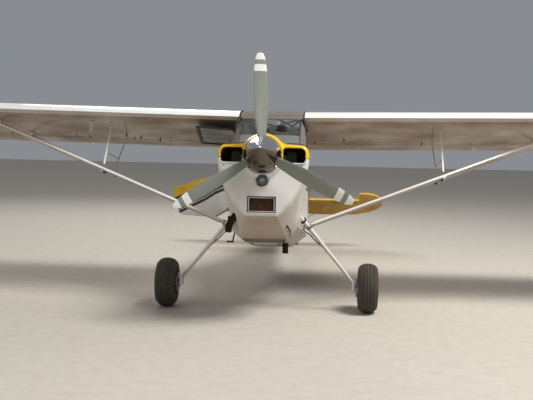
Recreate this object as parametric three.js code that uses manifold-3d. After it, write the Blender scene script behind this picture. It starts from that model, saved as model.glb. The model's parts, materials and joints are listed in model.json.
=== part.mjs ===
// Light aircraft: high wing, tandem seats, tail wheel, three-blade propeller, parked on its gear.
// Millimetres. Every part is drawn in the level airframe: X across (+X is the port wing), Y aft, Z up,
// origin midway between the main wheels. The airframe is then turned nose-up to its parked attitude.
import * as THREE from 'three';
import { mergeVertices } from 'three/addons/utils/BufferGeometryUtils.js';
import Module from 'manifold-3d';

const wasm = await Module();
wasm.setup();

// Driving dimensions
const PARKED_PITCH = THREE.MathUtils.degToRad(9.75);
const TYRE_RADIUS = 247.5;
const HALF_TRACK = 1015;
const THRUST_Z = 1150;
const PROP_Y = -1190;
const PROP_RADIUS = 914;
const TOP_BLADE_LEAN = THREE.MathUtils.degToRad(2.8);
const SPINNER_RADIUS = 169;
const SPINNER_BASE_Y = -1115;
const SPINNER_TIP_Y = -1512;
const SPINNER_SHAPE = 1.85;
const FIREWALL_Y = -450;
const COWL_FRONT_Y = -1060;
const COWL_SPLIT_Z = 1130;
const WALL = 25;
const CABIN_END_Y = 1500;
const STERN_Y = 5040;
const CHORD = 1600;
const WING_ROOT_X = 335;
const WING_TIP_X = 5200;
const WING_LE_Z = 1722;
const WING_INCIDENCE = THREE.MathUtils.degToRad(2.5);
const DIHEDRAL = THREE.MathUtils.degToRad(0.94);
const SURFACE_HINGE_Y = 1258;
const FLAP_INNER_X = 352;
const FLAP_OUTER_X = 2300;
const AILERON_OUTER_X = 4850;
const STABILISER_Z = 1385;
const ELEVATOR_HINGE_Y = 5070;
const ELEVATOR_DROOP = THREE.MathUtils.degToRad(27);
const DOOR_OPEN = THREE.MathUtils.degToRad(46);
const WINDOW_OPEN = THREE.MathUtils.degToRad(88);
const SKIN_GAP = 0.4;
const MOVING_GAP = 6;
const TAIL_WHEEL_RADIUS = 100;
const TAIL_WHEEL_Y = 5290;

const COLOURS = {
  white: [0xe8e6e0, 0.35, 0.0],
  yellow: [0xf2b705, 0.35, 0.0],
  metal: [0xc9ccd0, 0.2, 1.0],
  steel: [0x8a8d90, 0.45, 0.9],
  black: [0x1c1c1e, 0.6, 0.1],
  blade: [0x85887d, 0.5, 0.0],
  rubber: [0x3a3a3a, 0.85, 0.0],
  glass: [0xcfdad6, 0.08, 0.0],
  fabric: [0x4a4f55, 0.9, 0.0],
  cabin: [0x8d9093, 0.6, 0.0],
};

const airframe = new THREE.Group();
const ground = new THREE.Group();

function material(key) {
  const [color, roughness, metalness] = COLOURS[key];
  return new THREE.MeshStandardMaterial({ color, roughness, metalness });
}

// Solids: every shape becomes one, is joined or cut, and is then added under its node's name.
function solid(geometry) {
  const bare = geometry.index ? geometry.clone() : geometry;
  bare.deleteAttribute('normal');
  bare.deleteAttribute('uv');
  const merged = mergeVertices(bare, 1e-3);
  return new wasm.Manifold(new wasm.Mesh({
    numProp: 3,
    vertProperties: Float32Array.from(merged.attributes.position.array),
    triVerts: Uint32Array.from(merged.index.array),
  }));
}

function geometryOf(manifold) {
  const mesh = manifold.getMesh();
  const geometry = new THREE.BufferGeometry();
  geometry.setAttribute('position', new THREE.BufferAttribute(Float32Array.from(mesh.vertProperties), 3));
  geometry.setIndex(new THREE.BufferAttribute(Uint32Array.from(mesh.triVerts), 1));
  geometry.computeVertexNormals();
  return geometry;
}

function add(name, shape, key, parent = airframe) {
  const geometry = shape.isBufferGeometry ? shape : geometryOf(shape);
  const mesh = new THREE.Mesh(geometry, material(key));
  mesh.name = name;
  parent.add(mesh);
  return mesh;
}

function joined(shapes) {
  return shapes.reduce((sum, shape) => sum.add(shape));
}

// A closed body through rings of points that all have the same count, capped by fans at both ends.
// A symmetric body's second half takes the other diagonal of each face, so its two sides match.
function loft(rings, symmetric = false) {
  const count = rings[0].length;
  const points = rings.flat();
  const index = [];
  for (let ring = 0; ring + 1 < rings.length; ring++) {
    for (let i = 0; i < count; i++) {
      const a = ring * count + i;
      const b = ring * count + ((i + 1) % count);
      if (symmetric && 2 * i >= count) {
        index.push(a, b, a + count, b, b + count, a + count);
      } else {
        index.push(a, b, b + count, a, b + count, a + count);
      }
    }
  }
  for (const [ring, flip] of [[0, true], [rings.length - 1, false]]) {
    const centre = rings[ring].reduce((sum, p) => sum.clone().add(p)).clone().divideScalar(count);
    points.push(centre);
    for (let i = 0; i < count; i++) {
      const a = ring * count + i;
      const b = ring * count + ((i + 1) % count);
      index.push(...(flip ? [b, a, points.length - 1] : [a, b, points.length - 1]));
    }
  }
  let volume = 0;
  for (let i = 0; i < index.length; i += 3) {
    const [a, b, c] = [points[index[i]], points[index[i + 1]], points[index[i + 2]]];
    volume += a.dot(b.clone().cross(c));
  }
  if (volume < 0) {
    index.reverse();
  }
  const geometry = new THREE.BufferGeometry().setFromPoints(points);
  geometry.setIndex(index);
  return solid(geometry);
}

function box(x, y, z) {
  const geometry = new THREE.BoxGeometry(x[1] - x[0], y[1] - y[0], z[1] - z[0]);
  geometry.translate((x[0] + x[1]) / 2, (y[0] + y[1]) / 2, (z[0] + z[1]) / 2);
  return solid(geometry);
}

// A straight round bar from a to b, tapering from one radius to the other.
function bar(a, b, radiusA, radiusB = radiusA, sides = 12) {
  const from = new THREE.Vector3(...a);
  const to = new THREE.Vector3(...b);
  const geometry = new THREE.CylinderGeometry(radiusB, radiusA, from.distanceTo(to), sides);
  const along = to.clone().sub(from).normalize();
  geometry.applyQuaternion(new THREE.Quaternion().setFromUnitVectors(new THREE.Vector3(0, 1, 0), along));
  const middle = from.add(to).multiplyScalar(0.5);
  geometry.translate(middle.x, middle.y, middle.z);
  return solid(geometry);
}

function ball(at, radius, sides = 12) {
  const geometry = new THREE.SphereGeometry(radius, sides, sides / 2);
  geometry.translate(...at);
  return solid(geometry);
}

// An outline of [y, z] points in the side view, extruded across from one x to the other.
function sidePrism(outline, x) {
  const shape = new THREE.Shape(outline.map(([y, z]) => new THREE.Vector2(y, z)));
  const geometry = new THREE.ExtrudeGeometry(shape, { depth: x[1] - x[0], bevelEnabled: false });
  geometry.applyMatrix4(new THREE.Matrix4().makeBasis(
    new THREE.Vector3(0, 1, 0), new THREE.Vector3(0, 0, 1), new THREE.Vector3(1, 0, 0)));
  geometry.translate(x[0], 0, 0);
  return solid(geometry);
}

const PLATE_BEVEL_SHARE = 0.36;

// An outline of [x, y] points in plan or [y, z] points in side view, as a thin plate with rounded edges.
function plate(outline, thickness, basis) {
  const bevel = thickness * PLATE_BEVEL_SHARE;
  const depth = thickness - 2 * bevel;
  const shape = new THREE.Shape(outline.map(([u, v]) => new THREE.Vector2(u, v)));
  const geometry = new THREE.ExtrudeGeometry(shape, {
    depth,
    bevelThickness: bevel,
    bevelSize: bevel,
    bevelOffset: -bevel,
    bevelSegments: 1,
  });
  geometry.translate(0, 0, -depth / 2);
  geometry.applyMatrix4(basis);
  return solid(geometry);
}

const IN_PLAN = new THREE.Matrix4();
const IN_SIDE_VIEW = new THREE.Matrix4().makeBasis(
  new THREE.Vector3(0, 1, 0), new THREE.Vector3(0, 0, 1), new THREE.Vector3(1, 0, 0));

// A body of revolution about an axis along X, from [radius, distance along the axis] points.
function turned(profile, at, sides) {
  const lathe = new THREE.LatheGeometry(profile.map(([r, d]) => new THREE.Vector2(r, d)), sides);
  lathe.rotateZ(-Math.PI / 2);
  lathe.rotateX(Math.PI / sides);
  lathe.translate(...at);
  return solid(lathe);
}

function mirrored(shape) {
  return shape.mirror([1, 0, 0]);
}

// Moves every edge of a counter-clockwise outline inwards by the same distance.
function inset(outline, distance) {
  const count = outline.length;
  return outline.map((point, i) => {
    const before = outline[(i + count - 1) % count];
    const after = outline[(i + 1) % count];
    const inDir = [point[0] - before[0], point[1] - before[1]];
    const outDir = [after[0] - point[0], after[1] - point[1]];
    const inLength = Math.hypot(...inDir);
    const outLength = Math.hypot(...outDir);
    const inNormal = [-inDir[1] / inLength, inDir[0] / inLength];
    const outNormal = [-outDir[1] / outLength, outDir[0] / outLength];
    const scale = distance / (1 + inNormal[0] * outNormal[0] + inNormal[1] * outNormal[1]);
    return [point[0] + (inNormal[0] + outNormal[0]) * scale, point[1] + (inNormal[1] + outNormal[1]) * scale];
  });
}

// Fuselage. Each station is [y, then height and half-width of: belly, chine, sill, eave, root, shoulder,
// crown].
const STATIONS = [
  [-450, 400, 190, 560, 318, 1000, 390, 1150, 398, 1250, 390, 1318, 325, 1366, 165],
  [-430, 400, 190, 560, 320, 1000, 390, 1150, 398, 1252, 389, 1320, 325, 1370, 165],
  [20, 418, 205, 540, 372, 1150, 398, 1600, 352, 1650, 331, 1742, 331, 1788, 295],
  [560, 425, 205, 545, 382, 1110, 398, 1600, 352, 1650, 331, 1800, 331, 1848, 290],
  [950, 440, 205, 575, 378, 1075, 394, 1598, 350, 1650, 331, 1782, 331, 1832, 285],
  [1610, 490, 190, 640, 345, 1050, 372, 1470, 340, 1590, 320, 1650, 300, 1695, 230],
  [2300, 570, 155, 700, 282, 1050, 312, 1330, 292, 1450, 262, 1530, 210, 1572, 135],
  [3600, 745, 90, 840, 172, 1080, 190, 1260, 178, 1340, 150, 1393, 105, 1422, 52],
  [STERN_Y, 965, 26, 1000, 38, 1150, 44, 1290, 44, 1350, 40, 1380, 32, 1396, 18],
];

// How far each of the seven points moves inwards (across, up) for one unit of wall.
const WALL_DIRECTIONS = [[0.5, 1], [1, 0.6], [1, 0], [1, 0], [1, 0], [1, -0.6], [0.5, -1]];

function sectionRing(row, wall, y = row[0]) {
  const half = WALL_DIRECTIONS.map(([across, up], i) => {
    const z = row[1 + 2 * i] + up * wall;
    const x = row[2 + 2 * i] - across * wall;
    return new THREE.Vector3(x, y, z);
  });
  const other = half.map((p) => new THREE.Vector3(-p.x, p.y, p.z)).reverse();
  return [...half, ...other];
}

function rowAt(y) {
  const next = STATIONS.findIndex((row) => row[0] > y);
  const [a, b] = [STATIONS[next - 1], STATIONS[next]];
  const t = (y - a[0]) / (b[0] - a[0]);
  return a.map((value, i) => value + (b[i] - value) * t);
}

function fuselageBody(wall, startY = FIREWALL_Y, endY = STERN_Y) {
  const rows = STATIONS.filter((row) => row[0] > startY && row[0] < endY);
  const first = startY <= FIREWALL_Y ? STATIONS[0] : rowAt(startY);
  const last = endY >= STERN_Y ? STATIONS[STATIONS.length - 1] : rowAt(endY);
  const between = rows.map((row) => sectionRing(row, wall));
  return loft([sectionRing(first, wall, startY), ...between, sectionRing(last, wall, endY)], true);
}

const ACROSS = [-600, 600];
const DOOR_FRONT_Y = -45;
const DOOR_REAR_Y = 940;
const SILL_FRONT_Z = 1160;
const SILL_REAR_Z = 1075;
const WINDOW_TOP_Z = 1590;

const windshieldCut = [
  [-600, 1384], [-425, 1380], [-95, 1330], [-82, 1600], [-32, 1735], [-32, 2000], [-600, 2000],
];
const windowOutline = [
  [DOOR_FRONT_Y, SILL_FRONT_Z], [DOOR_REAR_Y, SILL_REAR_Z], [DOOR_REAR_Y, WINDOW_TOP_Z],
  [DOOR_FRONT_Y, WINDOW_TOP_Z],
];
const doorOutline = [
  [DOOR_FRONT_Y, 810], [25, 750], [220, 690], [820, 765], [DOOR_REAR_Y, 945], [DOOR_REAR_Y, SILL_REAR_Z],
  [DOOR_FRONT_Y, SILL_FRONT_Z],
];
const rearWindowOutline = [[1010, 1130], [1500, 1180], [1400, 1470], [1010, 1560]];
const SKYLIGHT = { x: [-262, 262], y: [95, 1000], z: [1700, 2000] };
const PORT = [250, 600];
const STARBOARD = [-600, -250];

const outerBody = fuselageBody(0);
const clearanceBody = fuselageBody(-SKIN_GAP, FIREWALL_Y, STERN_Y + SKIN_GAP);
const cavity = fuselageBody(WALL, FIREWALL_Y + WALL, CABIN_END_Y);
const shell = outerBody.subtract(cavity);

function pane(cutter, depth = 8, thickness = 5) {
  const outside = fuselageBody(depth, FIREWALL_Y + 1, CABIN_END_Y + 90);
  const inside = fuselageBody(depth + thickness, FIREWALL_Y - 1, CABIN_END_Y + 91);
  return outside.subtract(inside).intersect(cutter);
}

// Door hinge: an upright pin just outside the skin at the door's front edge, leaning with the side wall.
const DOOR_PIN_FOOT = new THREE.Vector3(-402, DOOR_FRONT_Y - 6, 860);
const DOOR_PIN_HEAD = new THREE.Vector3(-412, DOOR_FRONT_Y - 6, 1120);
const DOOR_KNUCKLES = [0.12, 0.82];
const KNUCKLE_RADIUS = 8;
const KNUCKLE_HALF = 18;
const KNUCKLE_SPREAD = 20;
const HINGE_ARM = { radius: 6, shift: 29, fixedX: -364, fixedY: -26, movingX: -368, movingY: 40 };

function alongPin(t, shift) {
  const along = DOOR_PIN_HEAD.clone().sub(DOOR_PIN_FOOT);
  const length = along.length();
  return DOOR_PIN_FOOT.clone().addScaledVector(along, t + shift / length).toArray();
}

const STRUT_LUG = { x: 412, frontY: -122, rearY: -38, z: 604 };
const LUG_ROOT = { x: 345, drop: 22, inwards: 10, radius: 20 };
const LUG_TIP_RADIUS = 15;

function lugArm(from, to) {
  return bar(from, to, LUG_ROOT.radius, LUG_TIP_RADIUS, 8);
}

function strutLug() {
  const { x, frontY, rearY, z } = STRUT_LUG;
  const rootZ = z - LUG_ROOT.drop;
  return joined([
    lugArm([LUG_ROOT.x, frontY + LUG_ROOT.inwards, rootZ], [x, frontY, z]),
    lugArm([LUG_ROOT.x, rearY - LUG_ROOT.inwards, rootZ], [x, rearY, z]),
  ]);
}

function buildFuselage() {
  const cuts = joined([
    sidePrism(windshieldCut, ACROSS),
    sidePrism(windowOutline, PORT),
    sidePrism(windowOutline, STARBOARD),
    sidePrism(doorOutline, STARBOARD),
    sidePrism(rearWindowOutline, PORT),
    sidePrism(rearWindowOutline, STARBOARD),
    box(SKYLIGHT.x, SKYLIGHT.y, SKYLIGHT.z),
  ]);
  const knuckles = DOOR_KNUCKLES.flatMap((t) => [-1, 1].map((side) => {
    const near = alongPin(t, side * KNUCKLE_SPREAD);
    const far = alongPin(t, side * (KNUCKLE_SPREAD + KNUCKLE_HALF));
    const armStart = alongPin(t, side * HINGE_ARM.shift);
    const armEnd = [HINGE_ARM.fixedX, DOOR_FRONT_Y + HINGE_ARM.fixedY, armStart[2]];
    return bar(near, far, KNUCKLE_RADIUS, KNUCKLE_RADIUS, 10)
      .add(bar(armStart, armEnd, HINGE_ARM.radius, HINGE_ARM.radius, 6));
  }));
  const lugs = [strutLug(), mirrored(strutLug())];
  return add('fuselage', joined([shell.subtract(cuts), ...knuckles, ...lugs]), 'white');
}

function buildGlazing() {
  add('windshield', pane(sidePrism(inset(windshieldCut, SKIN_GAP), ACROSS), 3), 'glass');
  add('window_left', pane(sidePrism(inset(windowOutline, SKIN_GAP), PORT)), 'glass');
  add('window_rear_left', pane(sidePrism(inset(rearWindowOutline, SKIN_GAP), PORT)), 'glass');
  add('window_rear_right', pane(sidePrism(inset(rearWindowOutline, SKIN_GAP), STARBOARD)), 'glass');
  const across = [SKYLIGHT.x[0] + SKIN_GAP, SKYLIGHT.x[1] - SKIN_GAP];
  const along = [SKYLIGHT.y[0] + SKIN_GAP, SKYLIGHT.y[1] - SKIN_GAP];
  add('skylight', pane(box(across, along, SKYLIGHT.z), 3), 'glass');
}

// Turns a mesh about an axis through a point, from its closed place to its parked one.
function swing(mesh, pivot, axis, angle) {
  const back = new THREE.Matrix4().makeTranslation(-pivot.x, -pivot.y, -pivot.z);
  const turn = new THREE.Matrix4().makeRotationAxis(axis.clone().normalize(), angle);
  const forth = new THREE.Matrix4().makeTranslation(pivot.x, pivot.y, pivot.z);
  mesh.applyMatrix4(forth.multiply(turn).multiply(back));
}

function buildDoor() {
  const skin = fuselageBody(0).subtract(fuselageBody(WALL, FIREWALL_Y + WALL, CABIN_END_Y));
  const panel = skin.intersect(sidePrism(inset(doorOutline, MOVING_GAP), STARBOARD));
  const straps = DOOR_KNUCKLES.map((t) => {
    const middle = alongPin(t, 0);
    const armEnd = [HINGE_ARM.movingX, DOOR_FRONT_Y + HINGE_ARM.movingY, middle[2]];
    return bar(alongPin(t, -KNUCKLE_HALF), alongPin(t, KNUCKLE_HALF), KNUCKLE_RADIUS, KNUCKLE_RADIUS, 10)
      .add(bar(middle, armEnd, HINGE_ARM.radius, HINGE_ARM.radius, 6));
  });
  const door = add('door_right', joined([panel, ...straps]), 'white');
  swing(door, DOOR_PIN_FOOT, DOOR_PIN_HEAD.clone().sub(DOOR_PIN_FOOT), DOOR_OPEN);
}

const WINDOW_PIN = new THREE.Vector3(-358, 0, WINDOW_TOP_Z + 2);
const WINDOW_FRAME = 34;

function buildOpeningWindow() {
  const rim = inset(windowOutline, MOVING_GAP);
  const hole = inset(windowOutline, MOVING_GAP + WINDOW_FRAME);
  const ring = sidePrism(rim, STARBOARD).subtract(sidePrism(hole, STARBOARD));
  const frame = add('window_right_frame', pane(ring, 1, 18), 'black');
  const glass = add('window_right_pane', pane(sidePrism(inset(hole, SKIN_GAP), STARBOARD), 8, 5), 'glass');
  for (const mesh of [frame, glass]) {
    swing(mesh, WINDOW_PIN, new THREE.Vector3(0, 1, 0), WINDOW_OPEN);
  }
}

// Cowl. Each station is [y, then height and half-width of: chin, ramp edge, lower side, mid side, cheek foot,
// cheek side, cheek top, saddle, hump].
const COWL_STATIONS = [
  [-1060, 606, 142, 650, 184, 800, 285, 930, 362, 1040, 400, 1185, 412, 1248, 368, 1256, 180, 1322, 70],
  [-1000, 580, 154, 626, 202, 780, 306, 930, 376, 1040, 408, 1190, 416, 1257, 372, 1265, 190, 1330, 80],
  [-880, 520, 185, 585, 240, 740, 322, 930, 384, 1040, 406, 1190, 412, 1268, 366, 1284, 200, 1341, 95],
  [-720, 432, 212, 540, 288, 720, 338, 930, 388, 1040, 400, 1180, 404, 1278, 352, 1306, 220, 1352, 120],
  [-456, 402, 192, 560, 318, 760, 352, 960, 385, 1080, 394, 1180, 397, 1258, 384, 1328, 300, 1367, 165],
];
const COWL_SKIN = 10;
const COWL_NOSE_WALL = 16;

// The front face's edge is rounded, by a radius for each of the station's points.
const COWL_EDGE_RADII = [5, 30, 55, 55, 35, 20, 20, 12, 12];
const COWL_EDGE_TURNS = [0, 22.5, 45, 67.5].map(THREE.MathUtils.degToRad);
const COWL_SMOOTHING = 2;
const COWL_DIRECTIONS = [
  [0.6, 1], [1, 0.7], [1, 0.3], [1, 0.2], [1, 0], [1, 0], [0.7, -0.8], [0.3, -1], [0.3, -1],
];
const NOSE_RING = { radius: 184, base: 206, front: -1100, bore: 70 };
const CUT_DEPTH = 100;
const INLET = { inner: 178, outer: 386, low: 1086, high: 1228, corner: 32 };
const LAMP = { z: 928, radius: 57 };
const LAMP_BACK_Y = -1000;
const FILTER = { x: 130, low: 634, high: 782, front: -1052, back: -985, face: -1030, rim: 14 };
const PIPE = { radius: 33, bore: 28, mouth: 60, clearance: 9 };
const TAIL_PIPE_RADII = { outer: 28, bore: 24 };
const EXHAUST_ELBOW = [
  [-200, -905, 668], [-222, -885, 645], [-241, -865, 622], [-286, -830, 582], [-313, -795, 531],
  [-322, -765, 485],
];
const TAIL_PIPE = {
  top: [202, -530, 398], bottom: [202, -518, 302], below: [202, -517, 294], step: [202, -529, 366],
};
const ENGINE = { x: [-300, 300], y: [-985, -520], z: [960, 1235] };

// Straight from the chin to the ramp's edge, then one smooth line through the station's other points.
function smoothSide(points) {
  const [chin, ...others] = points;
  const line = new THREE.CatmullRomCurve3(others, false, 'centripetal');
  return [chin, ...line.getPoints(COWL_SMOOTHING * (others.length - 1))];
}

function cowlSide(row, y, skin) {
  return smoothSide(COWL_DIRECTIONS.map(([across, up], i) =>
    new THREE.Vector3(row[2 + 2 * i] - across * skin, y, row[1 + 2 * i] + up * skin)));
}

// The edge's radius at each point of a smoothed side.
function edgeRadius(place, shrink) {
  const at = place === 0 ? 0 : 1 + (place - 1) / COWL_SMOOTHING;
  const low = Math.min(Math.floor(at), COWL_EDGE_RADII.length - 2);
  const radius = COWL_EDGE_RADII[low] + (COWL_EDGE_RADII[low + 1] - COWL_EDGE_RADII[low]) * (at - low);
  return Math.max(2, radius - shrink);
}

// One ring of the rounded front edge, from the front face (turn 0) to the side (a quarter turn).
function edgeRing(skin, frontY, shrink, turn) {
  const [front, next] = COWL_STATIONS;
  const face = cowlSide(front, front[0], skin);
  const behind = cowlSide(next, next[0], skin);
  return face.map((point, i) => {
    const radius = edgeRadius(i, shrink);
    const back = radius * (1 - Math.cos(turn));
    const before = face[Math.max(i - 1, 0)];
    const after = face[Math.min(i + 1, face.length - 1)];
    const along = i === 0 ? new THREE.Vector3(1, 0, 0) : after.clone().sub(before).normalize();
    const inwards = new THREE.Vector3(-along.z, 0, along.x).multiplyScalar(radius * (1 - Math.sin(turn)));
    const place = point.clone().lerp(behind[i], back / (next[0] - front[0])).add(inwards);
    return place.setY(frontY + back);
  });
}

function wholeRing(side) {
  return [...side, ...side.map((p) => new THREE.Vector3(-p.x, p.y, p.z)).reverse()];
}

function cowlBody(skin, frontY, rearY, shrink = 0) {
  const edge = COWL_EDGE_TURNS.map((turn) => edgeRing(skin, frontY, shrink, turn));
  const rows = COWL_STATIONS.slice(1);
  const sides = rows.map((row, i) => cowlSide(row, i === rows.length - 1 ? rearY : row[0], skin));
  return loft([...edge, ...sides].map(wholeRing), true);
}

function curveThrough(points) {
  return new THREE.CatmullRomCurve3(points.map((point) => new THREE.Vector3(...point)));
}

function sweep(curve, radius) {
  const circle = new THREE.Shape().absarc(0, 0, radius, 0, 2 * Math.PI, false);
  return solid(new THREE.ExtrudeGeometry(circle, { extrudePath: curve, steps: 12, curveSegments: 8 }));
}

function roundedSlot(side) {
  const shape = new THREE.Shape();
  const { inner, outer, low, high, corner } = INLET;
  shape.moveTo(inner + corner, low);
  shape.lineTo(outer - corner, low);
  shape.absarc(outer - corner, low + corner, corner, -Math.PI / 2, 0, false);
  shape.absarc(outer - 1.6 * corner, high - 1.6 * corner, 1.6 * corner, 0, Math.PI / 2, false);
  shape.absarc(inner + corner, high - corner, corner, Math.PI / 2, Math.PI, false);
  shape.absarc(inner + corner, low + corner, corner, Math.PI, 1.5 * Math.PI, false);
  const settings = { depth: CUT_DEPTH, bevelEnabled: false, curveSegments: 6 };
  const geometry = new THREE.ExtrudeGeometry(shape, settings);
  geometry.applyMatrix4(new THREE.Matrix4().makeBasis(
    new THREE.Vector3(1, 0, 0), new THREE.Vector3(0, 0, 1), new THREE.Vector3(0, -1, 0)));
  geometry.translate(0, COWL_FRONT_Y + 50, 0);
  const slot = solid(geometry);
  return side > 0 ? slot : mirrored(slot);
}

function buildCowl() {
  const { radius, base, front, bore } = NOSE_RING;
  const ring = bar([0, front, THRUST_Z], [0, COWL_FRONT_Y + 2, THRUST_Z], radius, base, 36);
  const outer = cowlBody(0, COWL_FRONT_Y, FIREWALL_Y - 1).add(ring);
  const hollow = cowlBody(COWL_SKIN, COWL_FRONT_Y + COWL_NOSE_WALL, FIREWALL_Y, COWL_NOSE_WALL - 4);
  const shaftHole = bar([0, front - 1, THRUST_Z], [0, COWL_FRONT_Y + CUT_DEPTH, THRUST_Z], bore, bore, 24);
  const ahead = COWL_FRONT_Y - CUT_DEPTH;
  const behind = COWL_FRONT_Y + CUT_DEPTH;
  const lampHole = bar([0, ahead, LAMP.z], [0, behind, LAMP.z], LAMP.radius, LAMP.radius, 24);
  const filterHole = box([-FILTER.x, FILTER.x], [ahead, behind], [FILTER.low, FILTER.high]);
  const exhaustHole = sweep(curveThrough(EXHAUST_ELBOW), PIPE.radius + PIPE.clearance);
  const inlets = roundedSlot(1).add(roundedSlot(-1));
  const cuts = joined([hollow, shaftHole, lampHole, filterHole, exhaustHole, inlets]);
  const whole = outer.subtract(cuts);
  const half = SKIN_GAP / 2;
  const above = box(ACROSS, [-1300, 0], [COWL_SPLIT_Z + half, 2000]);
  const below = box(ACROSS, [-1300, 0], [0, COWL_SPLIT_Z - half]);
  add('cowl_upper', whole.intersect(above), 'yellow');
  add('cowl_lower', whole.intersect(below), 'white');
  add('engine', box(ENGINE.x, ENGINE.y, ENGINE.z), 'black');
}

function buildCowlFittings() {
  const rim = LAMP.radius - SKIN_GAP;
  const bowl = [[0, 0], [40, 0], [rim, 34], [rim, 62], [rim - 6, 62], [rim - 7, 40], [34, 12], [0, 10]];
  const lamp = new THREE.LatheGeometry(bowl.map(([r, d]) => new THREE.Vector2(r, d)), 24);
  lamp.rotateX(Math.PI);
  lamp.translate(0, LAMP_BACK_Y, LAMP.z);
  add('landing_light', solid(lamp), 'metal');
  const { front, back, face, rim: frameRim } = FILTER;
  const x = FILTER.x - SKIN_GAP;
  const z = [FILTER.low + SKIN_GAP, FILTER.high - SKIN_GAP];
  const recess = box([frameRim - x, x - frameRim], [front - 1, face], [z[0] + frameRim, z[1] - frameRim]);
  add('air_filter', box([-x, x], [front, back], z).subtract(recess), 'steel');
  add('exhaust_right', pipe(curveThrough(EXHAUST_ELBOW)), 'steel');
  const { outer, bore } = TAIL_PIPE_RADII;
  const tailPipe = bar(TAIL_PIPE.top, TAIL_PIPE.bottom, outer, outer, 16)
    .subtract(bar(TAIL_PIPE.step, TAIL_PIPE.below, bore, bore, 16));
  add('exhaust_left', tailPipe, 'steel');
}

// A bent pipe, open for a short way at its far end.
function pipe(curve) {
  const end = curve.getPoint(1);
  const along = curve.getTangent(1);
  const inside = end.clone().addScaledVector(along, -PIPE.mouth).toArray();
  const beyond = end.clone().addScaledVector(along, 5).toArray();
  return sweep(curve, PIPE.radius).subtract(bar(inside, beyond, PIPE.bore, PIPE.bore, 16));
}

// Wings. The section is the NACA 4412 formula, a flat-bottomed shape of 12 per cent.
function airfoilAt(t) {
  const root = 0.2969 * Math.sqrt(t);
  const half = 0.6 * (root - 0.126 * t - 0.3516 * t ** 2 + 0.2843 * t ** 3 - 0.1015 * t ** 4);
  const camber = t < 0.4 ? 0.25 * (0.8 * t - t * t) : (0.04 / 0.36) * (0.2 + 0.8 * t - t * t);
  return { upper: camber + half, lower: camber - half };
}

function airfoil(steps) {
  const upper = [];
  const lower = [];
  for (let i = 0; i <= steps; i++) {
    const t = 0.5 * (1 - Math.cos((Math.PI * i) / steps));
    upper.push([t, airfoilAt(t).upper]);
    lower.push([t, airfoilAt(t).lower]);
  }
  return [...upper, ...lower.slice(1, -1).reverse()];
}

const SECTION = airfoil(11);
const TAN_DIHEDRAL = Math.tan(DIHEDRAL);

function wingHeight(x) {
  return WING_LE_Z + (x - WING_ROOT_X) * TAN_DIHEDRAL;
}

function wingRing(x, chord = CHORD, setback = 0, thickness = 1, drop = 0) {
  return SECTION.map(([t, h]) => {
    const [along, up] = [t * chord, h * chord * thickness];
    const y = setback + along * Math.cos(WING_INCIDENCE) + up * Math.sin(WING_INCIDENCE);
    const z = wingHeight(x) - drop - along * Math.sin(WING_INCIDENCE) + up * Math.cos(WING_INCIDENCE);
    return new THREE.Vector3(x, y, z);
  });
}

// Rounded tip. Each row is [x, chord, setback, thickness share, drop].
const TIP_ROWS = [
  [AILERON_OUTER_X + 70, CHORD, 0, 1, 0],
  [WING_TIP_X - 110, CHORD * 0.955, 38, 0.86, 2],
  [WING_TIP_X - 30, CHORD * 0.86, 120, 0.58, 6],
  [WING_TIP_X, CHORD * 0.76, 205, 0.3, 10],
];

function wingSpan(fromX, toX) {
  return loft([wingRing(fromX), wingRing(toX)]);
}

const NOSE_RADIUS = 46;
const COVE_Y = SURFACE_HINGE_Y - NOSE_RADIUS - MOVING_GAP - 2;

function hingePoint(x) {
  const y = SURFACE_HINGE_Y;
  const section = airfoilAt(y / CHORD);
  const z = wingHeight(x) - y * Math.sin(WING_INCIDENCE) + ((section.upper + section.lower) / 2) * CHORD;
  return [x, y, z];
}

function trailingSurface(fromX, toX) {
  const blade = wingSpan(fromX, toX).intersect(box([0, 6000], [SURFACE_HINGE_Y, 3000], [0, 3000]));
  return blade.add(bar(hingePoint(fromX), hingePoint(toX), NOSE_RADIUS, NOSE_RADIUS, 16));
}

function trailingCut(fromX, toX) {
  return box([fromX - MOVING_GAP, toX + MOVING_GAP], [COVE_Y, 3000], [1000, 2500]);
}

const AILERON_INNER_X = FLAP_OUTER_X + 2 * MOVING_GAP;
const STRUT_TOP = { front: [3030, 360], rear: [2930, 1120] };
const TIE_DOWN = [3180, 360];
const STRUT = { front: { half: 23, chord: 96 }, rear: { half: 18, chord: 74 } };
const STRUT_SIDES = 14;
const STRUT_PAD = { x: 30, y: 28, below: 26, above: 30 };
const TIE_DOWN_BLOCK = { x: 25, y: 30, below: 22, above: 20 };

function underWing(x, y) {
  return wingHeight(x) - y * Math.sin(WING_INCIDENCE) + airfoilAt(y / CHORD).lower * CHORD - 1;
}

// A streamlined tube: an ellipse, long way fore and aft, swept from a to b.
function streamlined(a, b, half, chord) {
  const ring = ([x, y, z], share) => Array.from({ length: STRUT_SIDES }, (_, i) => {
    const turn = (2 * Math.PI * i) / STRUT_SIDES;
    return new THREE.Vector3(x, y + share * Math.cos(turn) * chord / 2, z + share * Math.sin(turn) * half);
  });
  const point = (t) => a.map((value, i) => value + (b[i] - value) * t);
  return loft([ring(a, 0.5), ring(point(0.03), 1), ring(point(0.985), 1), ring(b, 0.6)]);
}

function wingPanel() {
  const body = loft([wingRing(WING_ROOT_X), ...TIP_ROWS.map(([x, ...shape]) => wingRing(x, ...shape))]);
  const under = ([x, y], size) => {
    const z = underWing(x, y);
    return box([x - size.x, x + size.x], [y - size.y, y + size.y], [z - size.below, z + size.above]);
  };
  const blocks = [
    under(STRUT_TOP.front, STRUT_PAD), under(STRUT_TOP.rear, STRUT_PAD), under(TIE_DOWN, TIE_DOWN_BLOCK),
  ];
  const cuts = [trailingCut(FLAP_INNER_X, FLAP_OUTER_X), trailingCut(AILERON_INNER_X, AILERON_OUTER_X)];
  return joined([body, ...blocks]).subtract(joined(cuts));
}

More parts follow.
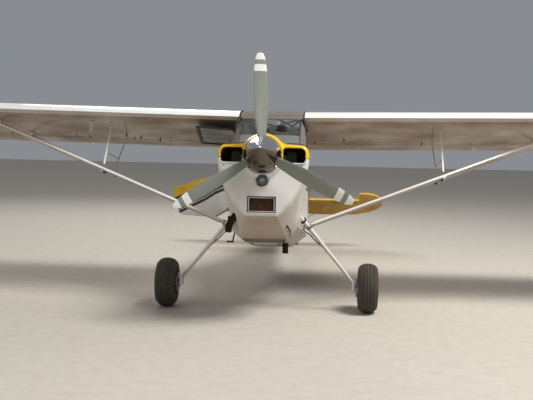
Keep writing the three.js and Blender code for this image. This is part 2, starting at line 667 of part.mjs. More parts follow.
function buildWings() {
  const panel = wingPanel();
  const flap = trailingSurface(FLAP_INNER_X, FLAP_OUTER_X);
  const aileron = trailingSurface(AILERON_INNER_X, AILERON_OUTER_X);
  const clear = panel.translate([0, 0, -SKIN_GAP]);
  const strutAt = (place) => {
    const [x, y] = STRUT_TOP[place];
    const { half, chord } = STRUT[place];
    const foot = [STRUT_LUG.x + 16, place === 'front' ? STRUT_LUG.frontY : STRUT_LUG.rearY, STRUT_LUG.z + 4];
    return streamlined(foot, [x, y, underWing(x, y) - 34], half, chord).subtract(clear);
  };
  const front = strutAt('front');
  const rear = strutAt('rear');
  const jury = juryStrut();
  for (const [side, port] of [['left', true], ['right', false]]) {
    const hand = (shape) => (port ? shape : mirrored(shape));
    add(`wing_${side}`, hand(panel), 'white');
    add(`flap_${side}`, hand(flap), 'white');
    add(`aileron_${side}`, hand(aileron), 'white');
    add(`strut_front_${side}`, hand(front), 'white');
    add(`strut_rear_${side}`, hand(rear), 'white');
    add(`jury_strut_${side}`, hand(jury), 'white');
  }
}

const JURY_X = 1770;
const JURY = { frontY: 350, rearY: 1080, frontRadius: 10, rearRadius: 8, braceRadius: 7, bracePlace: 0.3 };

function onStrut(place, x) {
  const [topX, topY] = STRUT_TOP[place];
  const footY = place === 'front' ? STRUT_LUG.frontY : STRUT_LUG.rearY;
  const t = (x - STRUT_LUG.x) / (topX - STRUT_LUG.x);
  return [x, footY + (topY - footY) * t, STRUT_LUG.z + (underWing(topX, topY) - STRUT_LUG.z) * t];
}

function juryStrut() {
  const upright = (place, y) => {
    const [x, footY, footZ] = onStrut(place, JURY_X);
    const rise = STRUT[place].half + 12;
    return [[x, footY, footZ + rise], [x, y, underWing(x, y) - 5]];
  };
  const front = upright('front', JURY.frontY);
  const rear = upright('rear', JURY.rearY);
  const brace = (line) => line[0].map((value, i) => value + (line[1][i] - value) * JURY.bracePlace);
  return joined([
    bar(front[0], front[1], JURY.frontRadius, JURY.frontRadius, 10),
    bar(rear[0], rear[1], JURY.rearRadius, JURY.rearRadius, 10),
    bar(brace(front), brace(rear), JURY.braceRadius, JURY.braceRadius, 8),
  ]);
}

// Main gear: spring legs, wheels on plain axles, and disc brakes.
const LEG = { root: [292, -345, 705], knee: [410, -198, 584], foot: [872, 0, 44] };
const LEG_RADII = { root: 24, knee: 22, foot: 14 };
const AXLE_BLOCK = { x: [858, 884], y: [-34, 34], z: [-30, 62] };
const AXLE_END_X = HALF_TRACK + 80;
const AXLE_RADIUS = 18;
const DISC = { radius: 98, x: 902, half: 3 };
const HUB_RADIUS = 92;

function buildMainGear() {
  const foot = joined([
    box(AXLE_BLOCK.x, AXLE_BLOCK.y, AXLE_BLOCK.z),
    bar([AXLE_BLOCK.x[0] + 12, 0, 0], [AXLE_END_X, 0, 0], AXLE_RADIUS, AXLE_RADIUS, 20),
  ]);
  const leg = joined([
    bar(LEG.root, LEG.knee, LEG_RADII.root, LEG_RADII.knee, 16),
    ball(LEG.knee, LEG_RADII.knee, 16),
    bar(LEG.knee, LEG.foot, LEG_RADII.knee, LEG_RADII.foot, 16),
    foot,
  ]);
  const clearLeg = leg.subtract(clearanceBody).subtract(cowlBody(-SKIN_GAP, COWL_FRONT_Y, FIREWALL_Y + 1));
  const slot = DISC.radius + 6;
  const caliper = box([DISC.x - 34, DISC.x + 10], [34, 96], [-30, 34])
    .subtract(bar([DISC.x - DISC.half - 5, 0, 0], [DISC.x + DISC.half + 5, 0, 0], slot, slot, 40))
    .subtract(box([DISC.x - 10, DISC.x + 30], [0, 130], [-60, 60]))
    .subtract(box([850, AXLE_BLOCK.x[1] + SKIN_GAP], [-40, AXLE_BLOCK.y[1] + SKIN_GAP], [-40, 70]));
  // Half of the tyre's section, bead to crown: [radius, distance from the wheel's middle].
  const sidewall = [[HUB_RADIUS + 1, 72], [124, 90], [168, 98], [206, 90], [232, 66], [TYRE_RADIUS, 28]];
  const inner = sidewall.map(([r, across]) => [r, -across]);
  const tread = [...inner, ...sidewall.toReversed(), inner[0]];
  const hub = [
    [AXLE_RADIUS + 1, -80], [64, -80], [70, -56], [HUB_RADIUS, -52], [HUB_RADIUS, 52], [70, 56], [64, 80],
    [36, 92], [AXLE_RADIUS + 1, 92], [AXLE_RADIUS + 1, -80],
  ];
  const discX = DISC.x - HALF_TRACK;
  const disc = [
    [AXLE_RADIUS + 1, discX - DISC.half], [DISC.radius, discX - DISC.half],
    [DISC.radius, discX + DISC.half], [58, discX + DISC.half], [58, -78], [AXLE_RADIUS + 1, -78],
    [AXLE_RADIUS + 1, discX - DISC.half],
  ];
  for (const [side, port] of [['left', true], ['right', false]]) {
    const hand = (shape) => (port ? shape : mirrored(shape));
    const centre = [HALF_TRACK, 0, 0];
    add(`gear_leg_${side}`, hand(clearLeg), 'white');
    add(`brake_${side}`, hand(caliper), 'steel');
    add(`tyre_${side}`, hand(turned(tread, centre, 36)), 'rubber', ground);
    const rim = turned(hub, centre, 24).add(turned(disc, centre, 24));
    add(`wheel_${side}`, hand(rim), 'metal', ground);
  }
}

// Tail surfaces: flat plates with rounded edges.
const STABILISER = [
  [40, 4650], [60, 4680], [200, 4722], [1105, 4728], [1105, ELEVATOR_HINGE_Y - 22],
  [40, ELEVATOR_HINGE_Y - 22],
];
const ELEVATOR_HALF = [
  [34, ELEVATOR_HINGE_Y - 14], [1115, ELEVATOR_HINGE_Y - 14], [1115, 4800], [1140, 4785], [1260, 4790],
  [1385, 4835], [1470, 4930], [1500, 5040], [1490, 5130], [1430, 5230], [1290, 5330], [1080, 5405],
  [880, 5430], [215, 5430],
  [60, ELEVATOR_HINGE_Y + 34], [34, ELEVATOR_HINGE_Y + 14],
];
const FIN = [
  [4130, 1380], [4330, 1455], [4560, 1600], [4760, 1830], [4880, 2030], [4950, 2105], [5030, 2130],
  [5088, 2130], [5088, 1445], [5046, 1425], [5046, 1300], [4300, 1300],
];
const RUDDER = [
  [5100, 992], [5270, 985], [5400, 1040], [5490, 1190], [5522, 1400], [5520, 1600], [5480, 1840],
  [5400, 2020], [5300, 2110], [5190, 2138], [5100, 2132],
];

const GUY_X = 760;
const GUY_Y = 4800;
const GUY = {
  finEye: [19, 4920, 1960], sternEye: [60, 4860, 990], wire: 5, bolt: 10.5, hole: 11, reach: 40, start: 34,
};
const ELEVATOR_TUBE = { half: 60, radius: 14 };

function buildTail() {
  const half = plate(STABILISER, 36, IN_PLAN).translate([0, 0, STABILISER_Z]).subtract(clearanceBody);
  const guyHole = guyUpright(GUY.reach + 20, GUY.hole);
  add('stabiliser_left', half.subtract(guyHole), 'yellow');
  add('stabiliser_right', mirrored(half.subtract(guyHole)), 'yellow');
  const port = plate(ELEVATOR_HALF, 32, IN_PLAN);
  const { half: tubeHalf, radius } = ELEVATOR_TUBE;
  const tube = bar([-tubeHalf, ELEVATOR_HINGE_Y, 0], [tubeHalf, ELEVATOR_HINGE_Y, 0], radius, radius, 16);
  const elevator = joined([port, mirrored(port), tube]).translate([0, 0, STABILISER_Z]);
  swing(
    add('elevator', elevator, 'yellow'), new THREE.Vector3(0, ELEVATOR_HINGE_Y, STABILISER_Z),
    new THREE.Vector3(1, 0, 0), -ELEVATOR_DROOP);
  add('fin', plate(FIN, 36, IN_SIDE_VIEW).subtract(clearanceBody), 'yellow');
  add('rudder', plate(RUDDER, 34, IN_SIDE_VIEW), 'yellow');
  for (const [side, port] of [['left', true], ['right', false]]) {
    const guy = tailGuy();
    add(`tail_brace_${side}`, port ? guy : mirrored(guy), 'steel');
  }
}

function guyUpright(reach, radius) {
  return bar([GUY_X, GUY_Y, STABILISER_Z - reach], [GUY_X, GUY_Y, STABILISER_Z + reach], radius, radius, 10);
}

function tailGuy() {
  const low = [GUY_X, GUY_Y, STABILISER_Z - GUY.start];
  const high = [GUY_X, GUY_Y, STABILISER_Z + GUY.start];
  const wires = joined([
    bar(high, GUY.finEye, GUY.wire, GUY.wire, 8), bar(low, GUY.sternEye, GUY.wire, GUY.wire, 8),
    guyUpright(GUY.reach, GUY.bolt),
  ]);
  return wires.subtract(clearanceBody).subtract(plate(FIN, 37, IN_SIDE_VIEW));
}

// Tail wheel, drawn upright on the ground: x across, Y and Z level with the ground, from the main axle.
function tailWheelPlace() {
  const height = TAIL_WHEEL_RADIUS - TYRE_RADIUS;
  const z = (TAIL_WHEEL_Y * Math.sin(PARKED_PITCH) + height) / Math.cos(PARKED_PITCH);
  return [0, TAIL_WHEEL_Y * Math.cos(PARKED_PITCH) + z * Math.sin(PARKED_PITCH), height];
}

const TRAIL = 62;
const FORK = { half: 46, arm: 4, front: -26, rear: 34, thick: 12, axleReach: 10, axleRadius: 8, foot: 16 };
const STEM = { radius: 10, bore: 11, housing: 26, rise: 66, from: 18, to: 78 };

// In the parked airframe's frame, for a point given level with the ground.
function inAirframe([y, z]) {
  const [sin, cos] = [Math.sin(PARKED_PITCH), Math.cos(PARKED_PITCH)];
  return [y * cos - z * sin, y * sin + z * cos];
}

function buildTailWheel() {
  const centre = tailWheelPlace();
  const [, y, z] = centre;
  const steerY = y - TRAIL;
  const crownZ = z + TAIL_WHEEL_RADIUS + 22;
  const tread = [
    [44, -24], [70, -32], [92, -30], [TAIL_WHEEL_RADIUS, -14], [TAIL_WHEEL_RADIUS, 14], [92, 30], [70, 32],
    [44, 24], [44, -24],
  ];
  const hub = [
    [9, -30], [18, -30], [20, -20], [43.6, -18], [43.6, 18], [20, 20], [18, 30], [9, 30], [9, -30],
  ];
  add('tail_tyre', turned(tread, centre, 24), 'rubber', ground);
  add('tail_hub', turned(hub, centre, 16), 'metal', ground);
  add('tail_fork', tailFork(y, z, steerY, crownZ), 'steel', ground);
  add('tail_spring', tailSpring(steerY, crownZ), 'steel');
}

function tailFork(y, z, steerY, crownZ) {
  const top = crownZ + FORK.thick;
  const front = steerY + FORK.front;
  const rear = steerY + FORK.rear;
  const outline = [
    [front, crownZ - FORK.arm], [y - FORK.foot, z - 14], [y + FORK.foot, z - 14], [y + FORK.foot, z + 16],
    [rear, top], [front, top],
  ];
  const arm = (side) => {
    const x = side * FORK.half;
    return sidePrism(outline, [x - FORK.arm, x + FORK.arm]);
  };
  const across = FORK.half + FORK.arm;
  const reach = FORK.half + FORK.axleReach;
  return joined([
    arm(1), arm(-1), box([-across, across], [front, rear], [crownZ, top]),
    bar([0, steerY, crownZ + FORK.arm], [0, steerY, crownZ + STEM.rise], STEM.radius, STEM.radius, 16),
    bar([-reach, y, z], [reach, y, z], FORK.axleRadius, FORK.axleRadius, 16),
  ]);
}

function tailSpring(steerY, crownZ) {
  const upright = (from, to, radius, sides) => bar([0, steerY, from], [0, steerY, to], radius, radius, sides)
    .rotate([THREE.MathUtils.radToDeg(PARKED_PITCH), 0, 0]);
  const housing = upright(crownZ + STEM.from, crownZ + STEM.to, STEM.housing, 20);
  const bore = upright(crownZ - 30, crownZ + STEM.rise + 6, STEM.bore, 16);
  const [endY, endZ] = inAirframe([steerY, crownZ + STEM.rise]);
  const leaf = [
    [4690, 888], [4900, 922], [5020, 940], [endY, endZ - 7], [endY, endZ + 7], [5020, 956], [4900, 940],
    [4690, 910],
  ];
  const spring = sidePrism(leaf, [-24, 24]).subtract(clearanceBody);
  return spring.add(housing).subtract(bore);
}

// Propeller. Blade rows are [radius, chord, pitch in degrees, thickness].
const BLADE_ROWS = [
  [128, 92, 50, 46], [200, 112, 44, 36], [330, 132, 34, 26], [480, 142, 26, 20], [620, 138, 21, 16],
  [760, 118, 17, 12], [860, 92, 15, 9], [903, 60, 14, 7], [PROP_RADIUS, 34, 14, 5],
];

const BLADE_SIDES = 12;
const SHANK = { from: 70, to: 134, radius: 34 };
const SOCKET = { from: 69, to: 260, inner: 52, outer: 66 };
const SHAFT = { back: -1000, radius: 48 };

function atHub(shape, angle) {
  return shape.rotate([0, THREE.MathUtils.radToDeg(angle), 0]).translate([0, PROP_Y, THRUST_Z]);
}

function blade(angle) {
  const rings = BLADE_ROWS.map(([radius, chord, pitch, thickness]) => {
    const lean = THREE.MathUtils.degToRad(pitch);
    return Array.from({ length: BLADE_SIDES }, (_, i) => {
      const turn = (2 * Math.PI * i) / BLADE_SIDES;
      const across = (chord / 2) * Math.cos(turn);
      const through = (thickness / 2) * Math.sin(turn);
      const side = across * Math.cos(lean) + through * Math.sin(lean);
      const aft = -across * Math.sin(lean) + through * Math.cos(lean);
      return new THREE.Vector3(side, aft, radius);
    });
  });
  const shank = bar([0, 0, SHANK.from], [0, 0, SHANK.to], SHANK.radius, SHANK.radius, 16);
  return atHub(loft(rings).add(shank), angle);
}

function buildPropeller() {
  const lip = 8;
  const profile = [[0, 0], [SPINNER_RADIUS - 4, 0], [SPINNER_RADIUS, lip]];
  const length = SPINNER_BASE_Y - SPINNER_TIP_Y;
  const steps = 9;
  for (let i = 1; i <= steps; i++) {
    const t = i / (steps + 1);
    profile.push([SPINNER_RADIUS * (1 - t ** SPINNER_SHAPE) + 2, lip + (length - lip) * t]);
  }
  profile.push([14, length - 9], [0, length]);
  const shell = new THREE.LatheGeometry(profile.map(([r, d]) => new THREE.Vector2(r, d)), 36);
  shell.rotateX(Math.PI);
  shell.translate(0, SPINNER_BASE_Y, THRUST_Z);
  const angles = [0, 1, 2].map((i) => -TOP_BLADE_LEAN + (i * 2 * Math.PI) / 3);
  const socket = bar([0, 0, SOCKET.from], [0, 0, SOCKET.to], SOCKET.inner, SOCKET.outer, 16);
  const sockets = angles.map((angle) => atHub(socket, angle));
  const shaftFront = SPINNER_BASE_Y - 4;
  const shaft = bar([0, shaftFront, THRUST_Z], [0, SHAFT.back, THRUST_Z], SHAFT.radius, SHAFT.radius, 20);
  add('spinner', solid(shell).subtract(joined(sockets)).add(shaft), 'metal');
  angles.forEach((angle, i) => add(`blade_${i + 1}`, blade(angle), 'blade'));
}

// Cabin fittings. A seat's y is its cushion's front edge and its z is the cushion's underside.
const SEAT_FRONT = { y: 170, z: 625 };
const SEAT_REAR = { y: 850, z: 640 };
const PANEL_OUTLINE = [
  [-395, 1000], [-365, 1000], [-250, 1290], [-228, 1472], [-240, 1486], [-300, 1486], [-395, 1350],
];
const BRACE_RADIUS = { cross: 12, diagonal: 10 };
const BRACES = [
  [[-300, 62, 1722], [300, 62, 1722], BRACE_RADIUS.cross],
  [[-300, 1060, 1752], [300, 1060, 1752], BRACE_RADIUS.cross],
  [[-300, 62, 1722], [300, 1060, 1752], BRACE_RADIUS.diagonal],
  [[300, 62, 1722], [-300, 1060, 1752], BRACE_RADIUS.diagonal],
  [[-300, 62, 1722], [-318, -60, 1560], BRACE_RADIUS.diagonal],
  [[300, 62, 1722], [318, -60, 1560], BRACE_RADIUS.diagonal],
];

function seat({ y, z }, room) {
  return joined([
    box([-200, 200], [y, y + 430], [z, z + 90]),
    box([-150, 150], [y + 60, y + 380], [z - 260, z + 1]),
    sidePrism([[y + 400, z + 40], [y + 470, z + 40], [y + 610, z + 600], [y + 550, z + 600]], [-195, 195]),
  ]).intersect(room);
}

function buildCabin() {
  const inner = fuselageBody(WALL + 1, FIREWALL_Y + WALL + 2, CABIN_END_Y - 2);
  add('instrument_panel', sidePrism(PANEL_OUTLINE, ACROSS).intersect(inner), 'cabin');
  const braces = joined(BRACES.map(([from, to, radius]) => bar(from, to, radius, radius, 8)));
  add('cabin_frame', braces.intersect(inner), 'cabin');
  const seatRoom = fuselageBody(WALL + SKIN_GAP, FIREWALL_Y + WALL + 2, CABIN_END_Y - 2);
  add('seat_front', seat(SEAT_FRONT, seatRoom), 'fabric');
  add('seat_rear', seat(SEAT_REAR, seatRoom), 'fabric');
}

const STEP = {
  root: [-352, 400, 585], bend: [-385, 400, 560], foot: [-405, 405, 452],
  tread: [[-470, -396], [392, 418], [440, 456]],
};

function buildSmallParts() {
  const step = joined([
    bar(STEP.root, STEP.bend, 9, 9, 8), bar(STEP.bend, STEP.foot, 8, 8, 8), box(...STEP.tread),
  ]).subtract(clearanceBody);
  add('entry_step', step, 'steel');
}

buildFuselage();
buildGlazing();
buildDoor();
buildOpeningWindow();
buildCowl();
buildCowlFittings();
buildWings();
buildMainGear();
buildTail();
buildTailWheel();
buildPropeller();
buildCabin();
buildSmallParts();

// Parked: nose up, wheels on the ground, the whole centred over the origin.
airframe.rotation.x = -PARKED_PITCH;
const root = new THREE.Group();
root.add(airframe, ground);
root.updateMatrixWorld(true);
const bounds = new THREE.Box3().setFromObject(root, true);
root.position.set(-(bounds.min.x + bounds.max.x) / 2, -(bounds.min.y + bounds.max.y) / 2, -bounds.min.z);
export default root;
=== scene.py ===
"""A high-wing light aircraft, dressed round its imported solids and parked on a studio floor.

Sizes are millimetres of the level airframe unless a name says otherwise: X towards the port wing,
Y aft, Z up, from the point midway between the main wheels.
"""
from __future__ import annotations

import json
import logging
import math
from dataclasses import dataclass
from enum import Enum
from typing import Any, Iterable, Sequence

import bmesh
import bpy
from mathutils import Matrix, Vector
from mathutils.bvhtree import BVHTree


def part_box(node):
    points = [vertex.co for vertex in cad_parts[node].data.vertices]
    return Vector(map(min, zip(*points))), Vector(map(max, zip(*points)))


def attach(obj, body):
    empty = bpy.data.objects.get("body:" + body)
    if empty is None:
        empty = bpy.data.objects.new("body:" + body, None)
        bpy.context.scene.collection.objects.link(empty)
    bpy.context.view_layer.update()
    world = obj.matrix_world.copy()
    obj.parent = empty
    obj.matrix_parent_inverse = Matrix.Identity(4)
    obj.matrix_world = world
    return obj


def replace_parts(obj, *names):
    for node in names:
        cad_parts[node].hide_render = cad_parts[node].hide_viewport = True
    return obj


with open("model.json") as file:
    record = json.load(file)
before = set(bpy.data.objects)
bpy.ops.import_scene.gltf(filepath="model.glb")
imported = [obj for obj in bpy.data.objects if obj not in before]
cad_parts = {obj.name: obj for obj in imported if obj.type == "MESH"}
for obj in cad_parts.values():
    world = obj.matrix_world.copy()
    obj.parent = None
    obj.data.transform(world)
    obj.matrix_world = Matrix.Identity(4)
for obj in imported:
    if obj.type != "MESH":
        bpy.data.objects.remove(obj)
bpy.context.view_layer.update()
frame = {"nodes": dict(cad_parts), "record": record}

LOG = logging.getLogger("aircraft")
Point = Sequence[float]

SIDES = ((1, "left"), (-1, "right"))
JOINTS = {joint["name"]: joint for joint in frame["record"]["behaviour"]["joints"]}
BODY_OF = {node: body for body, nodes in frame["record"]["behaviour"]["bodies"].items() for node in nodes}

PARKED_PITCH = math.radians(9.75)
AXLE = Vector((0.0, *JOINTS["main_wheel_left_spin"]["pos_m"][1:]))
MILLIMETRES = Matrix.Scale(0.001, 4)
GROUND = Matrix.Translation(AXLE) @ MILLIMETRES
AIRFRAME = Matrix.Translation(AXLE) @ Matrix.Rotation(-PARKED_PITCH, 4, "X") @ MILLIMETRES


def swung(pin: Point, axis: Point, degrees: float) -> Matrix:
    """Returns the turn, in airframe millimetres, that takes a closed panel to its parked place."""
    middle = Matrix.Translation(Vector(pin))
    return middle @ Matrix.Rotation(math.radians(degrees), 4, Vector(axis)) @ middle.inverted()


DOOR_PIN = (-402, -51, 860)
DOOR_PIN_AXIS = (-10, 0, 260)
DOOR_ANGLE = 46
WINDOW_PIN = (-358, 0, 1592)
WINDOW_ANGLE = 88
ELEVATOR_PIN = (0, 5070, 1385)
HUB = (0, -1190, 1150)
DOOR = AIRFRAME @ swung(DOOR_PIN, DOOR_PIN_AXIS, DOOR_ANGLE)
WINDOW = AIRFRAME @ swung(WINDOW_PIN, (0, 1, 0), WINDOW_ANGLE)
ELEVATOR = AIRFRAME @ swung(ELEVATOR_PIN, (1, 0, 0), -27)
PROPELLER = AIRFRAME @ Matrix.Translation(HUB)
UP = Vector((0, 0, 1))
AFT = Vector((0, 1, 0))
PORT = Vector((1, 0, 0))
ROOT = "airframe"
CABIN_MIDDLE_Z = 1100
CABIN_ENDS = (-449, 1505)
PAST_SIDE = 900
PAST_TOP = 2600


class Slot(Enum):
    """The record's material slots."""

    WHITE = "white_paint"
    YELLOW = "yellow_paint"
    METAL = "polished_metal"
    STEEL = "steel"
    BLADE = "blade_composite"
    TYRE = "tyre"
    CLOTH = "seat_cloth"
    CABIN = "cabin_paint"
    ENGINE = "engine_casting"
    FRAME = "window_frame"
    GLASS = "glazing"


class Livery(Enum):
    """How a painted surface is laid out in colours."""

    PLAIN = "plain"
    STRIPED = "striped"


def linear(colour: str) -> tuple[float, float, float, float]:
    """Turns an sRGB hex colour into linear RGBA."""
    parts = [int(colour[i:i + 2], 16) / 255 for i in (1, 3, 5)]
    red, green, blue = [c / 12.92 if c <= 0.04045 else ((c + 0.055) / 1.055) ** 2.4 for c in parts]
    return red, green, blue, 1.0


class Nodes:
    """One material's nodes, the surface shader that they feed, and the place that patterns read."""

    def __init__(self, made: bpy.types.Material) -> None:
        """Takes a new material."""
        made.use_nodes = True
        self.tree = made.node_tree
        self.shader = self.tree.nodes["Principled BSDF"]
        self.place = self.add("TexCoord", out="Object")

    def add(self, kind: str, feeds: Sequence | dict = (), out: int | str = 0, **settings: Any) -> Any:
        """Adds one node with its settings and links, and returns one of its outputs.

        Args:
            kind: The node's type name, without the ShaderNode that all begin with.
            feeds: Its inputs' values or links, in order, or by name or number.
            out: The output that is returned, by number or name.
            **settings: The node's own properties.
        """
        node = self.tree.nodes.new(f"ShaderNode{kind}")
        for name, value in settings.items():
            setattr(node, name, value)
        for key, value in (feeds if isinstance(feeds, dict) else dict(enumerate(feeds))).items():
            self.feed(key, value, node)
        return node.outputs[out]

    def feed(self, key: int | str, value: Any, node: bpy.types.Node | None = None) -> None:
        """Sets or links one input, of the surface shader unless another node is given."""
        socket = (node or self.shader).inputs[key]
        if isinstance(value, bpy.types.NodeSocket):
            self.tree.links.new(value, socket)
        else:
            socket.default_value = value

    def fed(self, key: str) -> Any:
        """Returns what feeds one of the surface shader's inputs so far."""
        socket = self.shader.inputs[key]
        return socket.links[0].from_socket if socket.is_linked else socket.default_value

    def together(self, *shares: Any) -> Any:
        """Returns the product of some shares."""
        whole = shares[0]
        for share in shares[1:]:
            whole = self.add("Math", (whole, share), operation="MULTIPLY")
        return whole

    def tint(self, share: Any, colour: str) -> None:
        """Covers the surface's colour with another, by a share from 0 to 1."""
        mix = {0: share, 6: self.fed("Base Color"), 7: linear(colour)}
        self.feed("Base Color", self.add("Mix", mix, 2, data_type="RGBA"))

    def emboss(self, height: Any, depth_mm: float, strength: float = 1.0) -> None:
        """Raises the surface by a height of 0 to 1, so many millimetres deep, over any bump before it."""
        feeds = {"Height": height, "Distance": depth_mm / 1000, "Strength": strength}
        if self.shader.inputs["Normal"].is_linked:
            feeds["Normal"] = self.fed("Normal")
        self.feed("Normal", self.add("Bump", feeds))

    def band(self, value: Any, stops: Sequence[tuple[float, str]]) -> None:
        """Colours the surface in sharp bands, by (place, hex colour) stops along a value."""
        colours = self.add("ValToRGB", (value,))
        ramp = colours.node.color_ramp
        ramp.interpolation = "CONSTANT"
        while len(ramp.elements) < len(stops):
            ramp.elements.new(0.5)
        for element, (place, colour) in zip(ramp.elements, stops):
            element.position = place
            element.color = linear(colour)
        self.feed("Base Color", colours)

    def facing_down(self) -> Any:
        """Returns the surface normal's upright part, which is below 0 on what faces the ground."""
        return self.add("SeparateXYZ", (self.add("TexCoord", out="Normal"),), 2)

    def level(self, swing: tuple | None = None) -> Any:
        """Makes the patterns' place metres of the level airframe, and returns its X, Y and Z.

        Args:
            swing: Pin, axis and degrees of a panel that is parked open, or None.
        """
        if swing:
            pin, axis, degrees = swing
            turn = AIRFRAME.to_3x3().normalized() @ Vector(axis)
            feeds = {"Vector": self.place, "Center": AIRFRAME @ Vector(pin), "Axis": turn,
                "Angle": -math.radians(degrees)}
            self.place = self.add("VectorRotate", feeds, rotation_type="AXIS_ANGLE")
        shift = -(Matrix.Rotation(PARKED_PITCH, 4, "X") @ AXLE)
        feeds = {"Vector": self.place, "Location": shift, "Rotation": (PARKED_PITCH, 0, 0)}
        self.place = self.add("Mapping", feeds, vector_type="POINT")
        return self.add("SeparateXYZ", (self.place,)).node.outputs


COAT_ROUGHNESS = 0.08
YELLOW_HEX = "#fbc800"
WHITE_HEX = "#efece6"
BROWN_HEX = "#38221a"
HEADER_HEX = "#7c7167"
# Soil brown: dust, and painted shade on what faces down.
SOIL_AND_SHADE_HEX = "#6d4a26"
# Painted shade for the belly, which lies in shadow.
BELLY_SHADE_HEX = "#35271a"
# Painted reflection of the brown ground, with painted shade, on metal facing down.
GROUND_REFLECTION_HEX = "#4c3a25"
HANDLING_HEX = "#6b5a45"


@dataclass(frozen=True)
class Finish:
    """A material: what it is, how its surface was made, and what that gives the eye."""

    name: str
    colour: str
    roughness: float = 0.5
    metallic: float = 0.0
    ior: float = 1.5
    coat: float = 0.0

    def material(self) -> bpy.types.Material:
        """Returns this finish's material, which is built the first time it is asked for."""
        known = bpy.data.materials.get(self.name)
        if known:
            return known
        made = bpy.data.materials.new(self.name)
        nodes = Nodes(made)
        for key, value in (("Base Color", linear(self.colour)), ("Roughness", self.roughness),
                ("Metallic", self.metallic), ("IOR", self.ior), ("Coat Weight", self.coat),
                ("Coat Roughness", COAT_ROUGHNESS)):
            nodes.feed(key, value)
        self.pattern(nodes)
        return made

    def pattern(self, nodes: Nodes) -> None:
        """Adds the surface's own pattern."""
        self.mottle(nodes, 9.0, 0.12)

    def mottle(self, nodes: Nodes, scale: float, amount: float, tint: str = HANDLING_HEX) -> Any:
        """Varies the colour and gloss in soft patches, as handling and dust do.

        Args:
            nodes: The material's nodes.
            scale: Patches per metre.
            amount: The largest share of the tint.
            tint: The dust's colour.

        Returns:
            The noise, for a bump.
        """
        noise = nodes.add("TexNoise", {"Vector": nodes.place, "Scale": scale, "Detail": 6.0})
        nodes.tint(nodes.add("MapRange", (noise, 0.4, 0.75, 0.0, amount)), tint)
        gloss = (noise, 0.3, 0.8, self.roughness * 0.88, min(1.0, self.roughness * 1.25))
        nodes.feed("Roughness", nodes.add("MapRange", gloss))
        return noise


